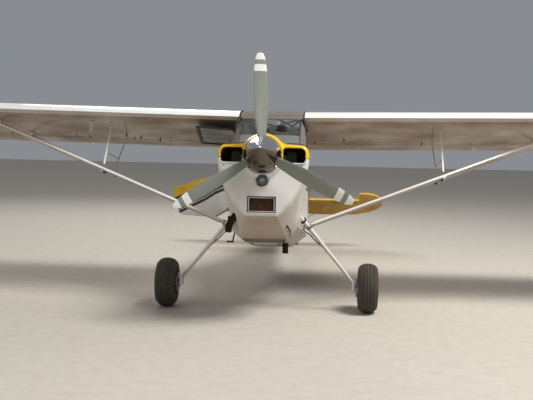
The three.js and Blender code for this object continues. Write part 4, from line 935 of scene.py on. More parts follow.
@dataclass
class Cowling:
    """Fasteners, inlets, lamp, filter, exhaust fittings and the engine behind the inlets."""

    split_z: float = 1130
    front_y: float = -1060
    firewall_y: float = -450
    fastener_pitch: float = 92
    inlet: tuple[float, float, float, float] = (178, 386, 1086, 1228)
    inlet_corner: float = 32
    lamp_z: float = 928
    lamp_radius: float = 57
    filter_box: tuple[float, float, float] = (130, 634, 782)
    pleats: int = 46
    pleat_depth: float = 11

    def build(self) -> None:
        """Builds the cowl's pieces."""
        self.skin = Surface("cowl_upper", "cowl_lower")
        self.fasteners()
        self.inlets()
        self.lamp()
        self.filter()
        self.engine()
        self.fittings()

    def fasteners(self) -> None:
        """Quarter-turn fasteners along the split, round the firewall edge and under the inlets."""
        rays: list[tuple[Point, Point]] = []
        for side in (-1, 1):
            for y in stations(self.front_y + 40, self.firewall_y - 30, self.fastener_pitch):
                rays += [((700 * side, y, self.split_z + dz), (-side, 0, 0)) for dz in (-16, 16)]
            rays += [((x * side, -1300, z), (0, 1, 0)) for x, z in ((352, 1056), (259, 1062), (372, 960),
                (215, 1262))]
        hub = Vector((0, self.firewall_y - 22, 930))
        rays += [(hub + spoke(degrees) * 900, -spoke(degrees)) for degrees in range(0, 360, 15)]
        fasteners(Piece("cowl_fasteners"), self.skin.hits(rays), 7.5, STEEL).done(Slot.STEEL)

    def inlet_outline(self, grow: float) -> list[Point]:
        """Returns an inlet's rounded outline in [x, z], grown outwards."""
        inner, outer, low, high = self.inlet
        small = self.inlet_corner + grow
        large = self.inlet_corner * 1.6 + grow
        corners = [((outer + grow - small, low - grow + small), small, -90),
            ((outer + grow - large, high + grow - large), large, 0),
            ((inner - grow + small, high + grow - small), small, 90),
            ((inner - grow + small, low - grow + small), small, 180)]
        return [point for centre, radius, start in corners for point in arc(centre, radius, start, start + 90, 6)]

    def inlets(self) -> None:
        """A rolled lip round each cheek inlet."""
        for side, name in SIDES:
            points = [(side * x, self.front_y - 2, z) for x, z in self.inlet_outline(3)]
            hose(f"inlet_lip_{name}", points, 7, STRIPED, closed=True, smooth=False)

    def lamp(self) -> None:
        """The landing lamp's bezel, lens and bulb in front of its reflector."""
        centre = Vector((0, self.front_y, self.lamp_z))
        piece = Piece("lamp_bezel")
        rim = self.lamp_radius
        piece.turned([(rim - 3, 2), (rim - 3, 9), (rim + 3, 12), (rim + 10, 6), (rim + 12, 0), (rim - 3, 2)], centre,
            (0, -1, 0), POLISHED, 40)
        for turn in (45, 135, 225, 315):
            spot = centre + spoke(turn) * (rim + 4)
            piece.rod(spot - AFT * 9, spot - AFT * 13, 3.5, STEEL, sides=8)
        piece.turned([(rim - 14, 1), (rim - 3, 1), (rim - 3, 5), (rim - 14, 3), (rim - 14, 1)], centre, (0, -1, 0),
            KNOB, 40)
        piece.done(Slot.METAL)
        bulb = Piece("lamp_bulb")
        bulb.rod((0, -1010, self.lamp_z), (0, -1030, self.lamp_z), 12, STEEL, 10, 16)
        bulb.ball((0, -1040, self.lamp_z), 13, LENS, 16)
        bulb.turned([(6, 0), (15, 3), (15, 6), (6, 6), (6, 0)], (0, -1046, self.lamp_z), (0, -1, 0), POLISHED, 20)
        bulb.done(Slot.METAL)
        glass = Piece("lamp_lens")
        glass.turned([(0, 4), (30, 2.5), (rim - 4, -1), (rim - 4, -4), (0, 0), (0, 4)],
            (0, self.front_y - 6, self.lamp_z), (0, -1, 0), LENS, 32)
        glass.done(Slot.GLASS)

    def filter(self) -> None:
        """The air filter's white surround, its pleated element and a seal."""
        half, low, high = self.filter_box
        bars = (("filter_surround", half + 11, low - 11, high + 11, 11, 11, -9, 6, WHITE, 2.5, Slot.WHITE),
            ("filter_frame", half - 9, low + 7, high - 7, 9, 10, 1, 8, FILTER_FRAME, 2, Slot.STEEL))
        for name, wide, foot, head, flat, post, start, stop, finish, bevel, slot in bars:
            border = Piece(name)
            y, end = self.front_y + start, self.front_y + stop
            border.block((-wide, y, head - flat), (wide, end, head), finish, bevel)
            border.block((-wide, y, foot), (wide, end, foot + flat), finish, bevel)
            for side in (-1, 1):
                border.block((side * (wide - post), y, foot + flat), (side * wide, end, head - flat), finish, bevel)
            border.done(slot)
        element = Piece("filter_element")
        part = bmesh.new()
        bmesh.ops.create_grid(part, x_segments=self.pleats, y_segments=1, size=1.0)
        inset = 15
        bmesh.ops.scale(part, vec=(half - inset, (high - low) / 2 - inset, 1), verts=part.verts)
        for spot in part.verts:
            column = round((spot.co.x / (half - inset) + 1) * self.pleats / 2)
            spot.co.z = self.pleat_depth if column % 2 else 0
        bmesh.ops.solidify(part, geom=part.faces[:], thickness=1.5)
        upright = Matrix.Translation((0, -1031, (low + high) / 2)) @ Matrix.Rotation(math.radians(90), 4, "X")
        bmesh.ops.transform(part, matrix=upright, verts=part.verts)
        element.take(part, GAUZE).done(Slot.STEEL, crease=20)
        seal = [(-half + 5, -1057, low + 5), (half - 5, -1057, low + 5), (half - 5, -1057, high - 5),
            (-half + 5, -1057, high - 5)]
        hose("filter_seal", seal, 5, SEAL, closed=True, smooth=False)

    def engine(self) -> None:
        """Cylinders with cooling fins, rocker covers, leads and baffles round the plain block."""
        block = Piece("engine_block")
        block.block((-210, -985, 965), (210, -525, 1180), CASTING, 14, 3)
        block.rod((0, -985, 1150), (0, -1030, 1150), 90, CASTING, 82, 32, 4)
        for side in (-1, 1):
            for y in (-880, -700):
                for fin in range(13):
                    x = side * (214 + 6.2 * fin)
                    block.block((x, y - 66, 1076), (x + 2.2, y + 66, 1206), CASTING)
                block.block((side * 212, y - 50, 1092), (side * 300, y + 50, 1190), CASTING, 8)
                block.block((side * 286, y - 40, 1100), (side * 300, y + 40, 1180), ALUMINIUM, 6)
        block.done(Slot.ENGINE, replaces=("engine",))
        baffle = Piece("engine_baffles")
        for side in (-1, 1):
            baffle.block((side * 60, -800, 960), (side * 372, -796, 1236), ENGINE_BLACK)
            baffle.block((side * 168, -1030, 1070), (side * 172, -800, 1236), ENGINE_BLACK)
            baffle.block((side * 172, -1030, 1070), (side * 386, -800, 1073), ENGINE_BLACK)
        baffle.done(Slot.ENGINE)
        for side, name in SIDES:
            for at, y in enumerate((-930, -830)):
                hose(f"plug_lead_{name}_{at + 1}", [(side * 170, y, 1212), (side * 230, y - 12, 1222),
                    (side * 280, y - 20, 1214), (side * 292, y - 22, 1190)], 4, KNOB)

    def fittings(self) -> None:
        """The elbow's fairing, the tail pipe's clamp, the spinner's seal, the air outlet and the oil door."""
        Piece("exhaust_fairing").ball((-232, -842, 684), (52, 112, 44), WHITE, 32).done(Slot.WHITE)
        clamp = Piece("exhaust_clamps").rod((202, -527, 374), (202, -526, 362), 31, EXHAUST, sides=28, bevel=1.5)
        clamp.done(Slot.STEEL)
        seal = Piece("spinner_seal")
        seal.turned([(60, 0), (166, 0), (166, 5), (60, 5), (60, 0)], (0, -1101, 1150), (0, -1, 0), ENGINE_BLACK, 40)
        seal.done(Slot.ENGINE)
        self.outlet()
        patch(self.skin, "oil_door", (190, -760, 1500), (1, 0, 0), (0, 1, 0), (0, 0, -1), (120, 150), 2.0, STRIPED,
            Slot.YELLOW)

    def outlet(self) -> None:
        """The air outlet's turned lip along the ramp's port edge, with a black strip behind it: painted shade for the
        outlet's dark opening.
        """
        outwards = Vector((0.76, -0.2, -0.6))
        along_skin = Vector((0.6, 0.17, 0.7))
        edge = [(214, -852, 532), (222, -782, 512), (227, -737, 497), (231, -692, 482), (235, -642, 471),
            (238, -592, 460)]
        found = self.skin.hits([(Vector(point) + outwards * 150 + along_skin * 12, -outwards) for point in edge])
        # A black strip laid on the skin stands for the opening: painted shade, not a hole.
        slot = Piece("outlet_painted_shade_strip")
        strap(slot, [spot + normal * 3 for spot, normal in found], along_skin, 24, 5, ENGINE_BLACK)
        slot.done(Slot.ENGINE)
        lip = Piece("outlet_lip")
        strap(lip, [spot + normal * 9 - along_skin * 14 for spot, normal in found], outwards, 22, 4, WHITE)
        lip.done(Slot.WHITE)


@dataclass
class Spinner:
    """The three blades, a ferrule on each blade's root, and screws round the spinner's base."""

    base_y: float = -1115
    radius: float = 169
    lean: float = -2.8

    def build(self) -> None:
        """Builds the propeller's fittings."""
        piece = Piece("spinner_screws", PROPELLER)
        back = self.base_y - HUB[1]
        for degrees in range(0, 360, 30):
            out = spoke(degrees)
            place = out * (self.radius - 1) + AFT * (back - 14)
            piece.rod(place, place + out * 2.5, 4.5, STEEL, 3.5, 8)
        piece.turned([(150, 0), (self.radius + 1.5, 0), (self.radius + 1.5, -5), (150, -5), (150, 0)], (0, back, 0),
            (0, 1, 0), ALUMINIUM, 48)
        piece.done(Slot.METAL, "propeller")
        roots = Piece("blade_ferrules", PROPELLER)
        for number, turn in enumerate((0, 120, 240), 1):
            out = spoke(90 - self.lean - turn)
            # The real blades are twisted for a right-hand propeller: the solid's twist, mirrored.
            twist = PROPELLER @ Matrix.Scale(-1, 4, spoke(-self.lean - turn)) @ PROPELLER.inverted()
            skin(f"blade_{number}", BLADE, mirror=twist)
            roots.rod(out * 92, out * 126, 40, ALUMINIUM, 37, 24, 2)
        roots.done(Slot.METAL, "propeller")


@dataclass
class Windscreen:
    """Beads, root seals, brace tubes and the compass round the windshield."""

    bead_radius: float = 4.5
    seal_radius: float = 20
    base_z: float = 1381
    sill_slope: float = -0.152
    post: tuple[Point, ...] = ((-96, 1340), (-92, 1420), (-87, 1510), (-84, 1595), (-64, 1650), (-42, 1708))
    seal_line: tuple[Point, ...] = ((-26, 1770), (-34, 1738), (-56, 1690), (-76, 1645), (-88, 1600), (-92, 1560))
    tubes: tuple[tuple[Point, Point], ...] = (((42, 0, 1710), (215, 0, 1630)), ((215, 0, 1630), (280, 0, 1687)),
        ((215, 0, 1630), (229, -10, 1564)), ((229, -10, 1564), (338, -60, 1380)))
    cross_tube: tuple[Point, Point] = ((-290, 20, 1715), (318, -20, 1556))

    def build(self) -> None:
        """Builds the windshield's surround."""
        self.shell = Surface("fuselage", "windshield", "cowl_upper")
        self.beads()
        self.seals()
        self.braces()
        self.compass()

    def edge(self, side: int) -> list[Vector]:
        """Returns one half of the windshield's rim, from its foot's middle to the top of the post."""
        foot = self.shell.hits([((side * x, -700, self.base_z), (0, 1, 0)) for x in stations(0, 300, 50)])
        sill = [(y, 1380 + (y + 425) * self.sill_slope) for y in stations(-330, -110, 55)]
        return [spot + normal for spot, normal in foot + self.shell.beside(side, [*sill, *self.post])]

    def beads(self) -> None:
        """An extruded rubber bead round the windshield, with screws along its posts and foot."""
        for side, name in SIDES:
            hose(f"windshield_bead_{name}", self.edge(side), self.bead_radius, SEAL)
        spots = [(y + 17, z) for y, z in self.post[:4]]
        spots += [(y, 1366 + (y + 425) * self.sill_slope) for y in stations(-330, -130, 65)]
        screws = Piece("windshield_screws")
        fasteners(screws, self.shell.beside(1, spots) + self.shell.beside(-1, spots), 5, STEEL, 2.0)
        rim = self.shell.hits([((x, -8, 2300), (0, 0, -1)) for x in stations(-270, 270, 90)])
        fasteners(screws, rim, 5, STEEL, 2.0).done(Slot.STEEL)

    def seals(self) -> None:
        """The soft black rubber between each wing's root and the windshield post."""
        for side, name in SIDES:
            spots = [spot + Vector((side * 14, -8, 0)) for spot, _ in self.shell.beside(side, self.seal_line)]
            hose(f"wing_front_seal_{name}", spots, self.seal_radius, SEAL)

    def braces(self) -> None:
        """Steel tubes behind the windshield, with a gusset where they meet."""
        piece = Piece("windshield_braces")
        for a, b in self.tubes:
            for side in (1, -1):
                flip = Vector((side, 1, 1))
                piece.rod(Vector(a) * flip, Vector(b) * flip, 9.5, TUBE_GREY, sides=16)
        piece.rod(*self.cross_tube, 8, TUBE_GREY, sides=16)
        for side in (1, -1):
            x, _, z = self.tubes[0][1]
            piece.plate([(side * (x - 34), -2, z + 12), (side * (x + 26), -2, z + 22), (side * (x + 6), -2, z - 34)],
                4, TUBE_GREY)
        piece.done(Slot.CABIN)

    def compass(self) -> None:
        """A card compass and a small screen on the glareshield."""
        piece = Piece("compass")
        piece.block((72, -262, 1502), (166, -206, 1590), KNOB, 10, 3)
        piece.rod((118, -236, 1480), (118, -236, 1506), 9, KNOB, 7, 16)
        piece.block((94, -268, 1476), (142, -212, 1488), KNOB, 3)
        piece.turned([(0, 0), (30, 0), (30, 3), (0, 3)], (118, -206, 1546), (0, 1, 0), DIAL, 32)
        piece.turned([(30, 0), (36, 0), (36, 5), (31, 6), (30, 0)], (118, -206, 1546), (0, 1, 0), ALUMINIUM, 32)
        piece.block((-92, -262, 1486), (4, -240, 1548), KNOB, 5)
        piece.block((-86, -240, 1492), (-2, -238, 1542), DIAL)
        piece.done(Slot.CABIN)


@dataclass
class Body:
    """What is fixed to the fuselage outside: window beads, aerials, vents, rails and covers."""

    port_window: tuple[Point, ...] = ((-45, 1160), (447, 1117), (940, 1075), (940, 1332), (940, 1590), (447, 1590),
        (-45, 1590), (-45, 1375))
    rear_window: tuple[Point, ...] = ((1010, 1130), (1255, 1155), (1500, 1180), (1450, 1325), (1400, 1470),
        (1205, 1515), (1010, 1560), (1010, 1345))
    roof_light: tuple[Point, ...] = ((-262, 95), (0, 95), (262, 95), (262, 400), (262, 700), (262, 1000), (0, 1000),
        (-262, 1000), (-262, 700), (-262, 400))
    bead_radius: float = 6

    def build(self) -> None:
        """Builds the outside fittings."""
        self.shell = Surface("fuselage", "window_left", "window_rear_left", "window_rear_right", "skylight")
        self.window_beads()
        self.roof()
        self.port_side()
        self.belly()
        self.tapes()

    def on_side(self, side: int, spots: Iterable[Point], height: float = 0) -> list[Vector]:
        """Returns the side skin's points at [y, z] places, or so far off it."""
        return [spot + normal * height for spot, normal in self.shell.beside(side, spots)]

    def window_beads(self) -> None:
        """A black bead and a row of screws round each fixed window."""
        rows = (("window_left", 1, self.port_window), ("window_rear_left", 1, self.rear_window),
            ("window_rear_right", -1, self.rear_window))
        screws = Piece("window_screws")
        for name, side, outline in rows:
            spots = walk(outline, (0.08, 0.5, 0.92))
            hose(f"{name}_bead", self.on_side(side, spots, 1), self.bead_radius, SEAL, closed=True)
            middle = (sum(y for y, _ in outline) / len(outline), sum(z for _, z in outline) / len(outline))
            outside = [(middle[0] + (y - middle[0]) * 1.055, middle[1] + (z - middle[1]) * 1.055) for y, z in spots]
            fasteners(screws, self.shell.beside(side, outside), 4.5, STEEL, 1.8)
        screws.done(Slot.STEEL)
        rim = [sum(self.shell.above(x, y), Vector()) for x, y in self.roof_light]
        hose("roof_light_bead", rim, self.bead_radius, SEAL, closed=True, smooth=False)

    def roof(self) -> None:
        """A blade aerial, a whip aerial and a beacon behind the roof light."""
        piece = Piece("roof_aerials")
        place, normal = self.shell.above(0, 1180)
        piece.plate([(-5, 1130, place.z - 2), (-5, 1250, place.z - 8), (-5, 1282, place.z + 150),
            (-5, 1240, place.z + 160)], 10, WHITE, 3)
        piece.turned([(0, -3), (60, -3), (60, 2), (50, 4), (0, 4)], place, normal, WHITE, 32)
        spot, up = self.shell.above(0, 2050)
        piece.turned([(0, -2), (22, -2), (22, 5), (12, 14), (0, 14)], spot, up, KNOB, 24)
        piece.rod(spot + up * 12, spot + up * 12 + Vector((0, 210, 420)), 4, STEEL, 1.5, 8)
        piece.done(Slot.METAL)
        beacon = Piece("beacon")
        base, up = self.shell.above(0, 2600)
        beacon.turned([(0, -2), (42, -2), (42, 6), (34, 10), (0, 10)], base, up, ALUMINIUM, 28)
        beacon.turned([(0, 10), (32, 10), (33, 30), (26, 50), (12, 60), (0, 62)], base, up, RED_LENS, 28)
        beacon.done(Slot.GLASS)

    def port_side(self) -> None:
        """A sliding vent with its knob in the port window, static plates, a baggage hatch with latches, and grab
        handles.
        """
        vent = [(300, 1215), (440, 1205), (580, 1197), (580, 1330), (440, 1338), (300, 1342)]
        hose("vent_rail", self.on_side(1, vent, 2), 4.5, POWDER, closed=True, smooth=False)
        piece = Piece("side_fittings")
        for side in (1, -1):
            for found in self.shell.beside(side, ((2050, 1120), (3950, 1150))):
                piece.turned([(0, -1), (20, -1), (20, 2), (15, 3.5), (0, 3.5)], *found, ALUMINIUM, 24)
        for found in self.shell.beside(1, ((440, 1270),)):
            piece.turned([(0, 0), (13, 0), (15, 8), (11, 16), (0, 17)], *found, KNOB, 20)
        piece.done(Slot.METAL)
        patch(self.shell, "baggage_hatch", (900, 1800, 985), (0, 1, 0), (0, 0, 1), (-1, 0, 0), (420, 260), 2.5,
            STRIPED, Slot.WHITE)
        latches = Piece("hatch_latches")
        for found in self.shell.beside(1, ((1640, 1060), (1640, 910), (1960, 1060), (1960, 910))):
            latches.turned([(0, 2), (13, 2), (13, 5), (9, 6.5), (0, 6.5)], *found, STEEL, 20)
        latches.done(Slot.STEEL)
        for side, name in SIDES:
            a, b, c, d = self.on_side(side, ((4180, 1165), (4210, 1165), (4400, 1175), (4430, 1175)))
            out = PORT * (side * 42)
            hose(f"lift_handle_{name}", [a, b + out, c + out, d], 8, STEEL, smooth=False)

    def belly(self) -> None:
        """Drains, a pulley cover and the louvred outlet under the firewall."""
        piece = Piece("belly_fittings")
        for x, y in ((0, 900), (0, 1900), (0, 3200), (90, 300), (-90, 300)):
            piece.turned([(3, -1), (12, -1), (12, 3), (6, 5), (3, 5)], *self.shell.below(x, y), STEEL, 16)
        piece.done(Slot.METAL)
        patch(self.shell, "belly_cover", (0, 650, 200), (1, 0, 0), (0, 1, 0), (0, 0, 1), (240, 420), 2.5, WHITE,
            Slot.WHITE)
        louvres = Piece("belly_louvres")
        for at in range(6):
            y = -400 + 42 * at
            base = self.shell.below(0, y)[0]
            louvres.block((-110, y, base.z - 12), (110, y + 26, base.z + 2), WHITE, 5,
                turn=Matrix.Rotation(math.radians(16), 4, "X"))
        louvres.done(Slot.WHITE)

    def tapes(self) -> None:
        """Screws in a ring round the fuselage where the fabric starts."""
        hub = Vector((0, -432, 900))
        rays = [(hub + spoke(degrees) * 900, -spoke(degrees)) for degrees in range(0, 360, 12)]
        fasteners(Piece("edge_screws"), Surface("fuselage").hits(rays), 4.5, STEEL, 1.8).done(Slot.STEEL)


@dataclass
class DoorAndWindow:
    """The open lower door's trim and latch, and the raised window's latch, rivets and hinges."""

    outline: tuple[Point, ...] = ((-45, 810), (25, 750), (220, 690), (820, 765), (940, 945), (940, 1075), (-45, 1160))
    opening: tuple[Point, ...] = ((-52, 806), (20, 743), (220, 682), (826, 758), (948, 943), (948, 1330), (948, 1600),
        (450, 1600), (-52, 1600), (-52, 1390))

    def build(self) -> None:
        """Builds the trim of both."""
        self.door = Surface("door_right", space=DOOR)
        self.door_trim()
        self.door_latch()
        self.sill_seal()
        self.window_trim()

    def inner(self, spots: Iterable[Point], lift: float) -> list[Vector]:
        """Returns points on the closed door's inner face at [y, z] places, so far off it."""
        found = self.door.hits([((0, y, z), (-1, 0, 0)) for y, z in spots])
        return [spot + normal * lift for spot, normal in found]

    def shrunk(self, by: float) -> list[Point]:
        """Returns the door's outline drawn in towards its middle by a share."""
        middle = Vector((460, 920))
        return [tuple(Vector(spot).lerp(middle, by)) for spot in self.outline]

    def door_trim(self) -> None:
        """A tube frame with braces on the door's inside, a rubber strip round its edge, and rivets."""
        frame_line = self.inner(self.shrunk(0.09), 6)
        hose("door_tube", frame_line, 8, TUBE_GREY, "door", DOOR, closed=True, smooth=False)
        for name, line in (("door_brace", ((30, 1120), (250, 960), (480, 800))),
                ("door_brace_rear", ((480, 800), (700, 950), (890, 1060)))):
            hose(name, self.inner(line, 6), 7, TUBE_GREY, "door", DOOR, smooth=False)
        seal = self.inner(self.shrunk(0.035), 3)
        hose("door_edge_seal", seal, 5, SEAL, "door", DOOR, closed=True, smooth=False)
        rivets = self.door.beside(-1, self.rivet_places())
        fasteners(Piece("door_rivets", DOOR), rivets, 3.6, WHITE, 1.4).done(Slot.WHITE, "door")

    def rivet_places(self) -> list[Point]:
        """Returns places a little inside the door's outline, about 80 mm apart."""
        line = self.shrunk(0.05)
        places: list[Point] = []
        for (y1, z1), (y2, z2) in zip(line, line[1:] + line[:1]):
            count = max(1, round(math.hypot(y2 - y1, z2 - z1) / 80))
            places += [(y1 + (y2 - y1) * i / count, z1 + (z2 - z1) * i / count) for i in range(count)]
        return places

    def door_latch(self) -> None:
        """A recessed handle outside, a lever inside and the latch pin at the rear edge."""
        out, normal = self.door.hit((-900, 800, 1035), (1, 0, 0))
        piece = Piece("door_latch", DOOR)
        piece.turned([(0, 0), (24, 0), (24, 3), (18, 5), (0, 5)], out, normal, STRIPED_DOOR, 28)
        piece.block(out + Vector((-12, -62, -9)), out + Vector((-4, 12, 9)), STRIPED_DOOR, 4)
        inside = self.inner([(800, 1035)], 4)[0]
        piece.rod(inside, inside + PORT * 24, 9, STEEL, sides=16)
        piece.rod(inside + Vector((20, 6, 0)), inside + Vector((24, -80, -6)), 7, KNOB, 6, 12)
        pin = self.inner([(916, 1035)], 0)[0]
        piece.rod(pin + Vector((-10, -12, 0)), pin + Vector((-10, 22, 0)), 6, STEEL, 4.5, 12)
        piece.done(Slot.STEEL, "door")
        pins = Piece("hinge_pins", AIRFRAME)
        for share in (0.12, 0.82):
            middle = Vector(DOOR_PIN) + Vector(DOOR_PIN_AXIS) * share
            up = Vector(DOOR_PIN_AXIS).normalized()
            pins.rod(middle - up * 44, middle + up * 44, 4, STEEL, sides=10)
            pins.rod(middle + up * 41, middle + up * 47, 7, STEEL, 5, 12)
        pins.done(Slot.STEEL)

    def sill_seal(self) -> None:
        """The rubber strip round the doorway."""
        found = Surface("fuselage").beside(-1, walk(self.opening, (0.0, 0.5)))
        near = [spot + normal * 0.5 for spot, normal in found if spot.x < -200]
        hose("doorway_seal", near, 5, SEAL, closed=True, smooth=False)

    def window_trim(self) -> None:
        """Rivets round the raised window's frame, its hinge leaves, a latch and a pull."""
        frame_shell = Surface("window_right_frame", space=WINDOW)
        line = ((-22, 1181), (460, 1139), (917, 1100), (917, 1330), (917, 1567), (447, 1567), (-22, 1567),
            (-22, 1350))
        spots = walk(line, (0.0, 0.25, 0.5, 0.75))
        rivets = Piece("window_rivets", WINDOW)
        fasteners(rivets, frame_shell.beside(-1, spots), 4, STEEL, 1.6)
        fasteners(rivets, frame_shell.hits([((0, y, z), (-1, 0, 0)) for y, z in spots]), 4, STEEL, 1.6)
        rivets.done(Slot.STEEL, "window")
        latch = Piece("window_latch", WINDOW)
        low = frame_shell.hit((-900, 450, 1140), (1, 0, 0))[0]
        latch.block(low + Vector((-9, -26, -9)), low + Vector((1, 26, 9)), KNOB, 3)
        latch.rod(low + PORT * -8, low + Vector((-26, 0, -4)), 7, KNOB, 5, 14)
        latch.done(Slot.FRAME, "window")
        leaves = Piece("window_hinges")
        for y in (60, 450, 840):
            x, _, z = WINDOW_PIN
            leaves.rod((x, y - 34, z), (x, y + 34, z), 4.5, STEEL, sides=12)
            leaves.block((-352, y - 30, 1594), (-346, y + 30, 1622), POWDER, 1.5)
        leaves.done(Slot.FRAME)


@dataclass
class Cabin:
    """Floor, dials, sticks, pedals, levers and side tubes inside the cabin."""

    floor_z: float = 498
    floor_half: float = 262
    dial_radius: float = 38
    stick_places: tuple[float, float] = (70, 745)

    def build(self) -> None:
        """Builds the cabin's fittings."""
        self.floor()
        self.panel()
        self.controls()
        self.levers()
        self.side_tubes()

    def floor(self) -> None:
        """A painted plywood floor with its edge rails and scuff plates."""
        piece = Piece("cabin_floor")
        z = self.floor_z
        piece.block((-self.floor_half, -415, z - 8), (self.floor_half, 1460, z), FLOORBOARD, 2)
        for side in (1, -1):
            x = side * (self.floor_half - 8)
            piece.rod((x, -410, z + 8), (x, 1450, z + 8), 8, TUBE_GREY)
        for y in (-300, 480):
            piece.block((-150, y, z), (150, y + 190, z + 2), ALUMINIUM, 0.8)
        piece.done(Slot.CABIN)

    def panel(self) -> None:
        """Dials, a radio stack, switches and knobs on the panel's aft face, and its padded top edge."""
        face = Surface("instrument_panel")
        piece = Piece("panel_dials")
        rows = ((1408, self.dial_radius, (-240, -150, -60, 60, 150, 240)),
            (1326, 27, (-250, -185, -120, 120, 185, 250)))
        for z, radius, places in rows:
            for at, x in enumerate(places):
                found = face.hit((x, 150, z), (0, -1, 0))
                if found:
                    self.dial(piece, found[0], found[1], radius, 40 + 47 * at)
        for z, x in ((1236, -150), (1236, -110), (1236, -70), (1236, -30), (1236, 60), (1236, 110), (1236, 160)):
            place, normal = face.hit((x, 150, z), (0, -1, 0))
            if x < 0:
                piece.block(place + Vector((-7, -2, -12)), place + Vector((7, 5, 12)), KNOB, 1.5)
                piece.rod(place + normal * 5, place + normal * 16 + UP * 6, 3, ALUMINIUM, 2.2, 10)
            else:
                tint = RED_KNOB if x > 120 else KNOB
                piece.rod(place, place + normal * 26, 4, ALUMINIUM, sides=10)
                piece.turned([(0, 24), (11, 24), (14, 30), (13, 38), (0, 41)], place, normal, tint, 20)
        place, normal = face.hit((0, 150, 1370), (0, -1, 0))
        piece.block(place + Vector((-34, -2, -62)), place + Vector((34, 10, 62)), KNOB, 3)
        for z in (-36, 0, 36):
            piece.block(place + Vector((-28, 9, z - 12)), place + Vector((10, 11.5, z + 12)), DIAL, 0.8)
            for x in (18, 27):
                piece.rod(place + Vector((x, 8, z)), place + Vector((x, 20, z)), 4.5, KNOB, 4, 12)
        piece.done(Slot.CABIN)
        edge = []
        for x in stations(-300, 300, 60):
            found = face.hit((x, -270, 2000), (0, 0, -1))
            edge.append(found[0] + Vector((0, 34, 2)))
        hose("glareshield_roll", edge, 12, SEAL)

    def dial(self, piece: Piece, place: Vector, normal: Vector, radius: float, reading: float) -> None:
        """Adds one round dial: bezel, face, ticks and a needle at a reading in degrees."""
        piece.turned([(0, 0), (radius, 0), (radius, 2), (0, 2)], place, normal, DIAL, 28)
        piece.turned([(radius, 0), (radius + 5, 0), (radius + 5, 6), (radius + 1, 7), (radius, 0)], place, normal,
            KNOB, 28)
        side = PORT
        up = normal.cross(side)
        for turn in range(-140, 141, 35):
            out = side * math.sin(math.radians(turn)) + up * math.cos(math.radians(turn))
            start = place + normal * 2.4 + out * radius * 0.74
            piece.rod(start, start + out * radius * 0.18, 1.1, MARKING, sides=4)
        out = side * math.sin(math.radians(reading - 120)) + up * math.cos(math.radians(reading - 120))
        piece.rod(place + normal * 3, place + normal * 3 + out * radius * 0.66, 1.8, MARKING, 0.5, 6)
        piece.turned([(0, 0), (4.5, 0), (3.5, 3), (0, 3)], place + normal * 2, normal, KNOB, 14)

    def controls(self) -> None:
        """A curved stick with a grip before each seat, and rudder pedals for both."""
        z = self.floor_z
        for name, y in zip(("front", "rear"), self.stick_places):
            hose(f"stick_{name}", [(0, y, z), (0, y - 6, z + 120), (0, y - 18, z + 220), (0, y - 4, z + 330)], 11,
                TUBE_GREY)
            grip = Piece(f"stick_grip_{name}")
            top = Vector((0, y - 4, z + 326))
            grip.turned([(0, 0), (14, 0), (17, 20), (15, 45), (18, 78), (20, 98), (14, 110), (0, 113)], top,
                (0, 0.12, 1), KNOB, 24)
            grip.turned([(0, 0), (6, 0), (5, 5), (0, 5)], top + Vector((0, -16, 92)), (0, -1, 0.2), RED_KNOB, 14)
            grip.turned([(12, -326), (44, -326), (36, -300), (16, -286), (12, -326)], top, (0, 0, 1), SEAL, 24)
            grip.done(Slot.CABIN)
        pedals = Piece("rudder_pedals")
        for y in (-330, 430):
            for x in (-150, 150):
                pedals.rod((x, y + 26, z + 6), (x, y - 6, z + 116), 7, TUBE_GREY)
                pedals.block((x - 42, y - 18, z + 92), (x + 42, y - 6, z + 138), ALUMINIUM, 4)
                for row in range(4):
                    pedals.rod((x - 36, y - 5, z + 99 + 11 * row), (x + 36, y - 5, z + 99 + 11 * row), 2, KNOB,
                        sides=6)
        for y in (-304, 456):
            pedals.rod((-210, y, z + 8), (210, y, z + 8), 9, TUBE_GREY)
        pedals.done(Slot.CABIN)

    def levers(self) -> None:
        """Throttle quadrants and a trim wheel on the port wall, and the flap lever beside the front seat."""
        piece = Piece("levers")
        for y in (-60, 690):
            piece.block((346, y - 70, 1000), (366, y + 70, 1048), POWDER, 4)
            for at, tint in enumerate((KNOB, RED_KNOB)):
                foot = Vector((354, y - 20 + 34 * at, 1040))
                head = foot + Vector((-10, -22, 74))
                piece.rod(foot, head, 4, ALUMINIUM, sides=10)
                piece.ball(head, 12, tint, 16)
        piece.rod((352, 330, 900), (366, 330, 900), 62, KNOB, sides=32, bevel=3)
        piece.turned([(54, 0), (66, 0), (68, 6), (66, 12), (54, 12), (54, 0)], (350, 330, 900), (1, 0, 0), KNOB, 32)
        piece.rod((238, 150, self.floor_z), (256, -10, 640), 9, TUBE_GREY)
        piece.rod((256, -10, 640), (262, -58, 682), 13, KNOB, 12, 16)
        piece.done(Slot.CABIN)

    def side_tubes(self) -> None:
        """The welded frame's tubes along the cabin walls and behind the rear windows, and the baggage sling."""
        piece = Piece("cabin_truss")
        both = (((352, 990, 620), (330, 990, 1640)), ((350, 1010, 1110), (320, 1470, 1440)),
            ((345, 1470, 900), (318, 1470, 1560)), ((350, 1000, 620), (330, 1460, 880)))
        port_sill = ((352, 960, 1060), (352, -60, 1120))
        for side, lines in ((1, (*both, port_sill)), (-1, both)):
            for a, b in lines:
                piece.rod((side * a[0], *a[1:]), (side * b[0], *b[1:]), 10, TUBE_GREY, sides=14)
        for x, z in ((330, 880), (318, 1545)):
            piece.rod((-x, 1470, z), (x, 1470, z), 10, TUBE_GREY, sides=14)
        piece.done(Slot.CABIN)
        sling = [(0, 1475, 930), (0, 1420, 760), (0, 1350, 640), (0, 1250, 570), (0, 1150, 545)]
        strap(Piece("baggage_sling"), sling, (1, 0, 0), 600, 2, SEAT_CLOTH).done(Slot.CLOTH)


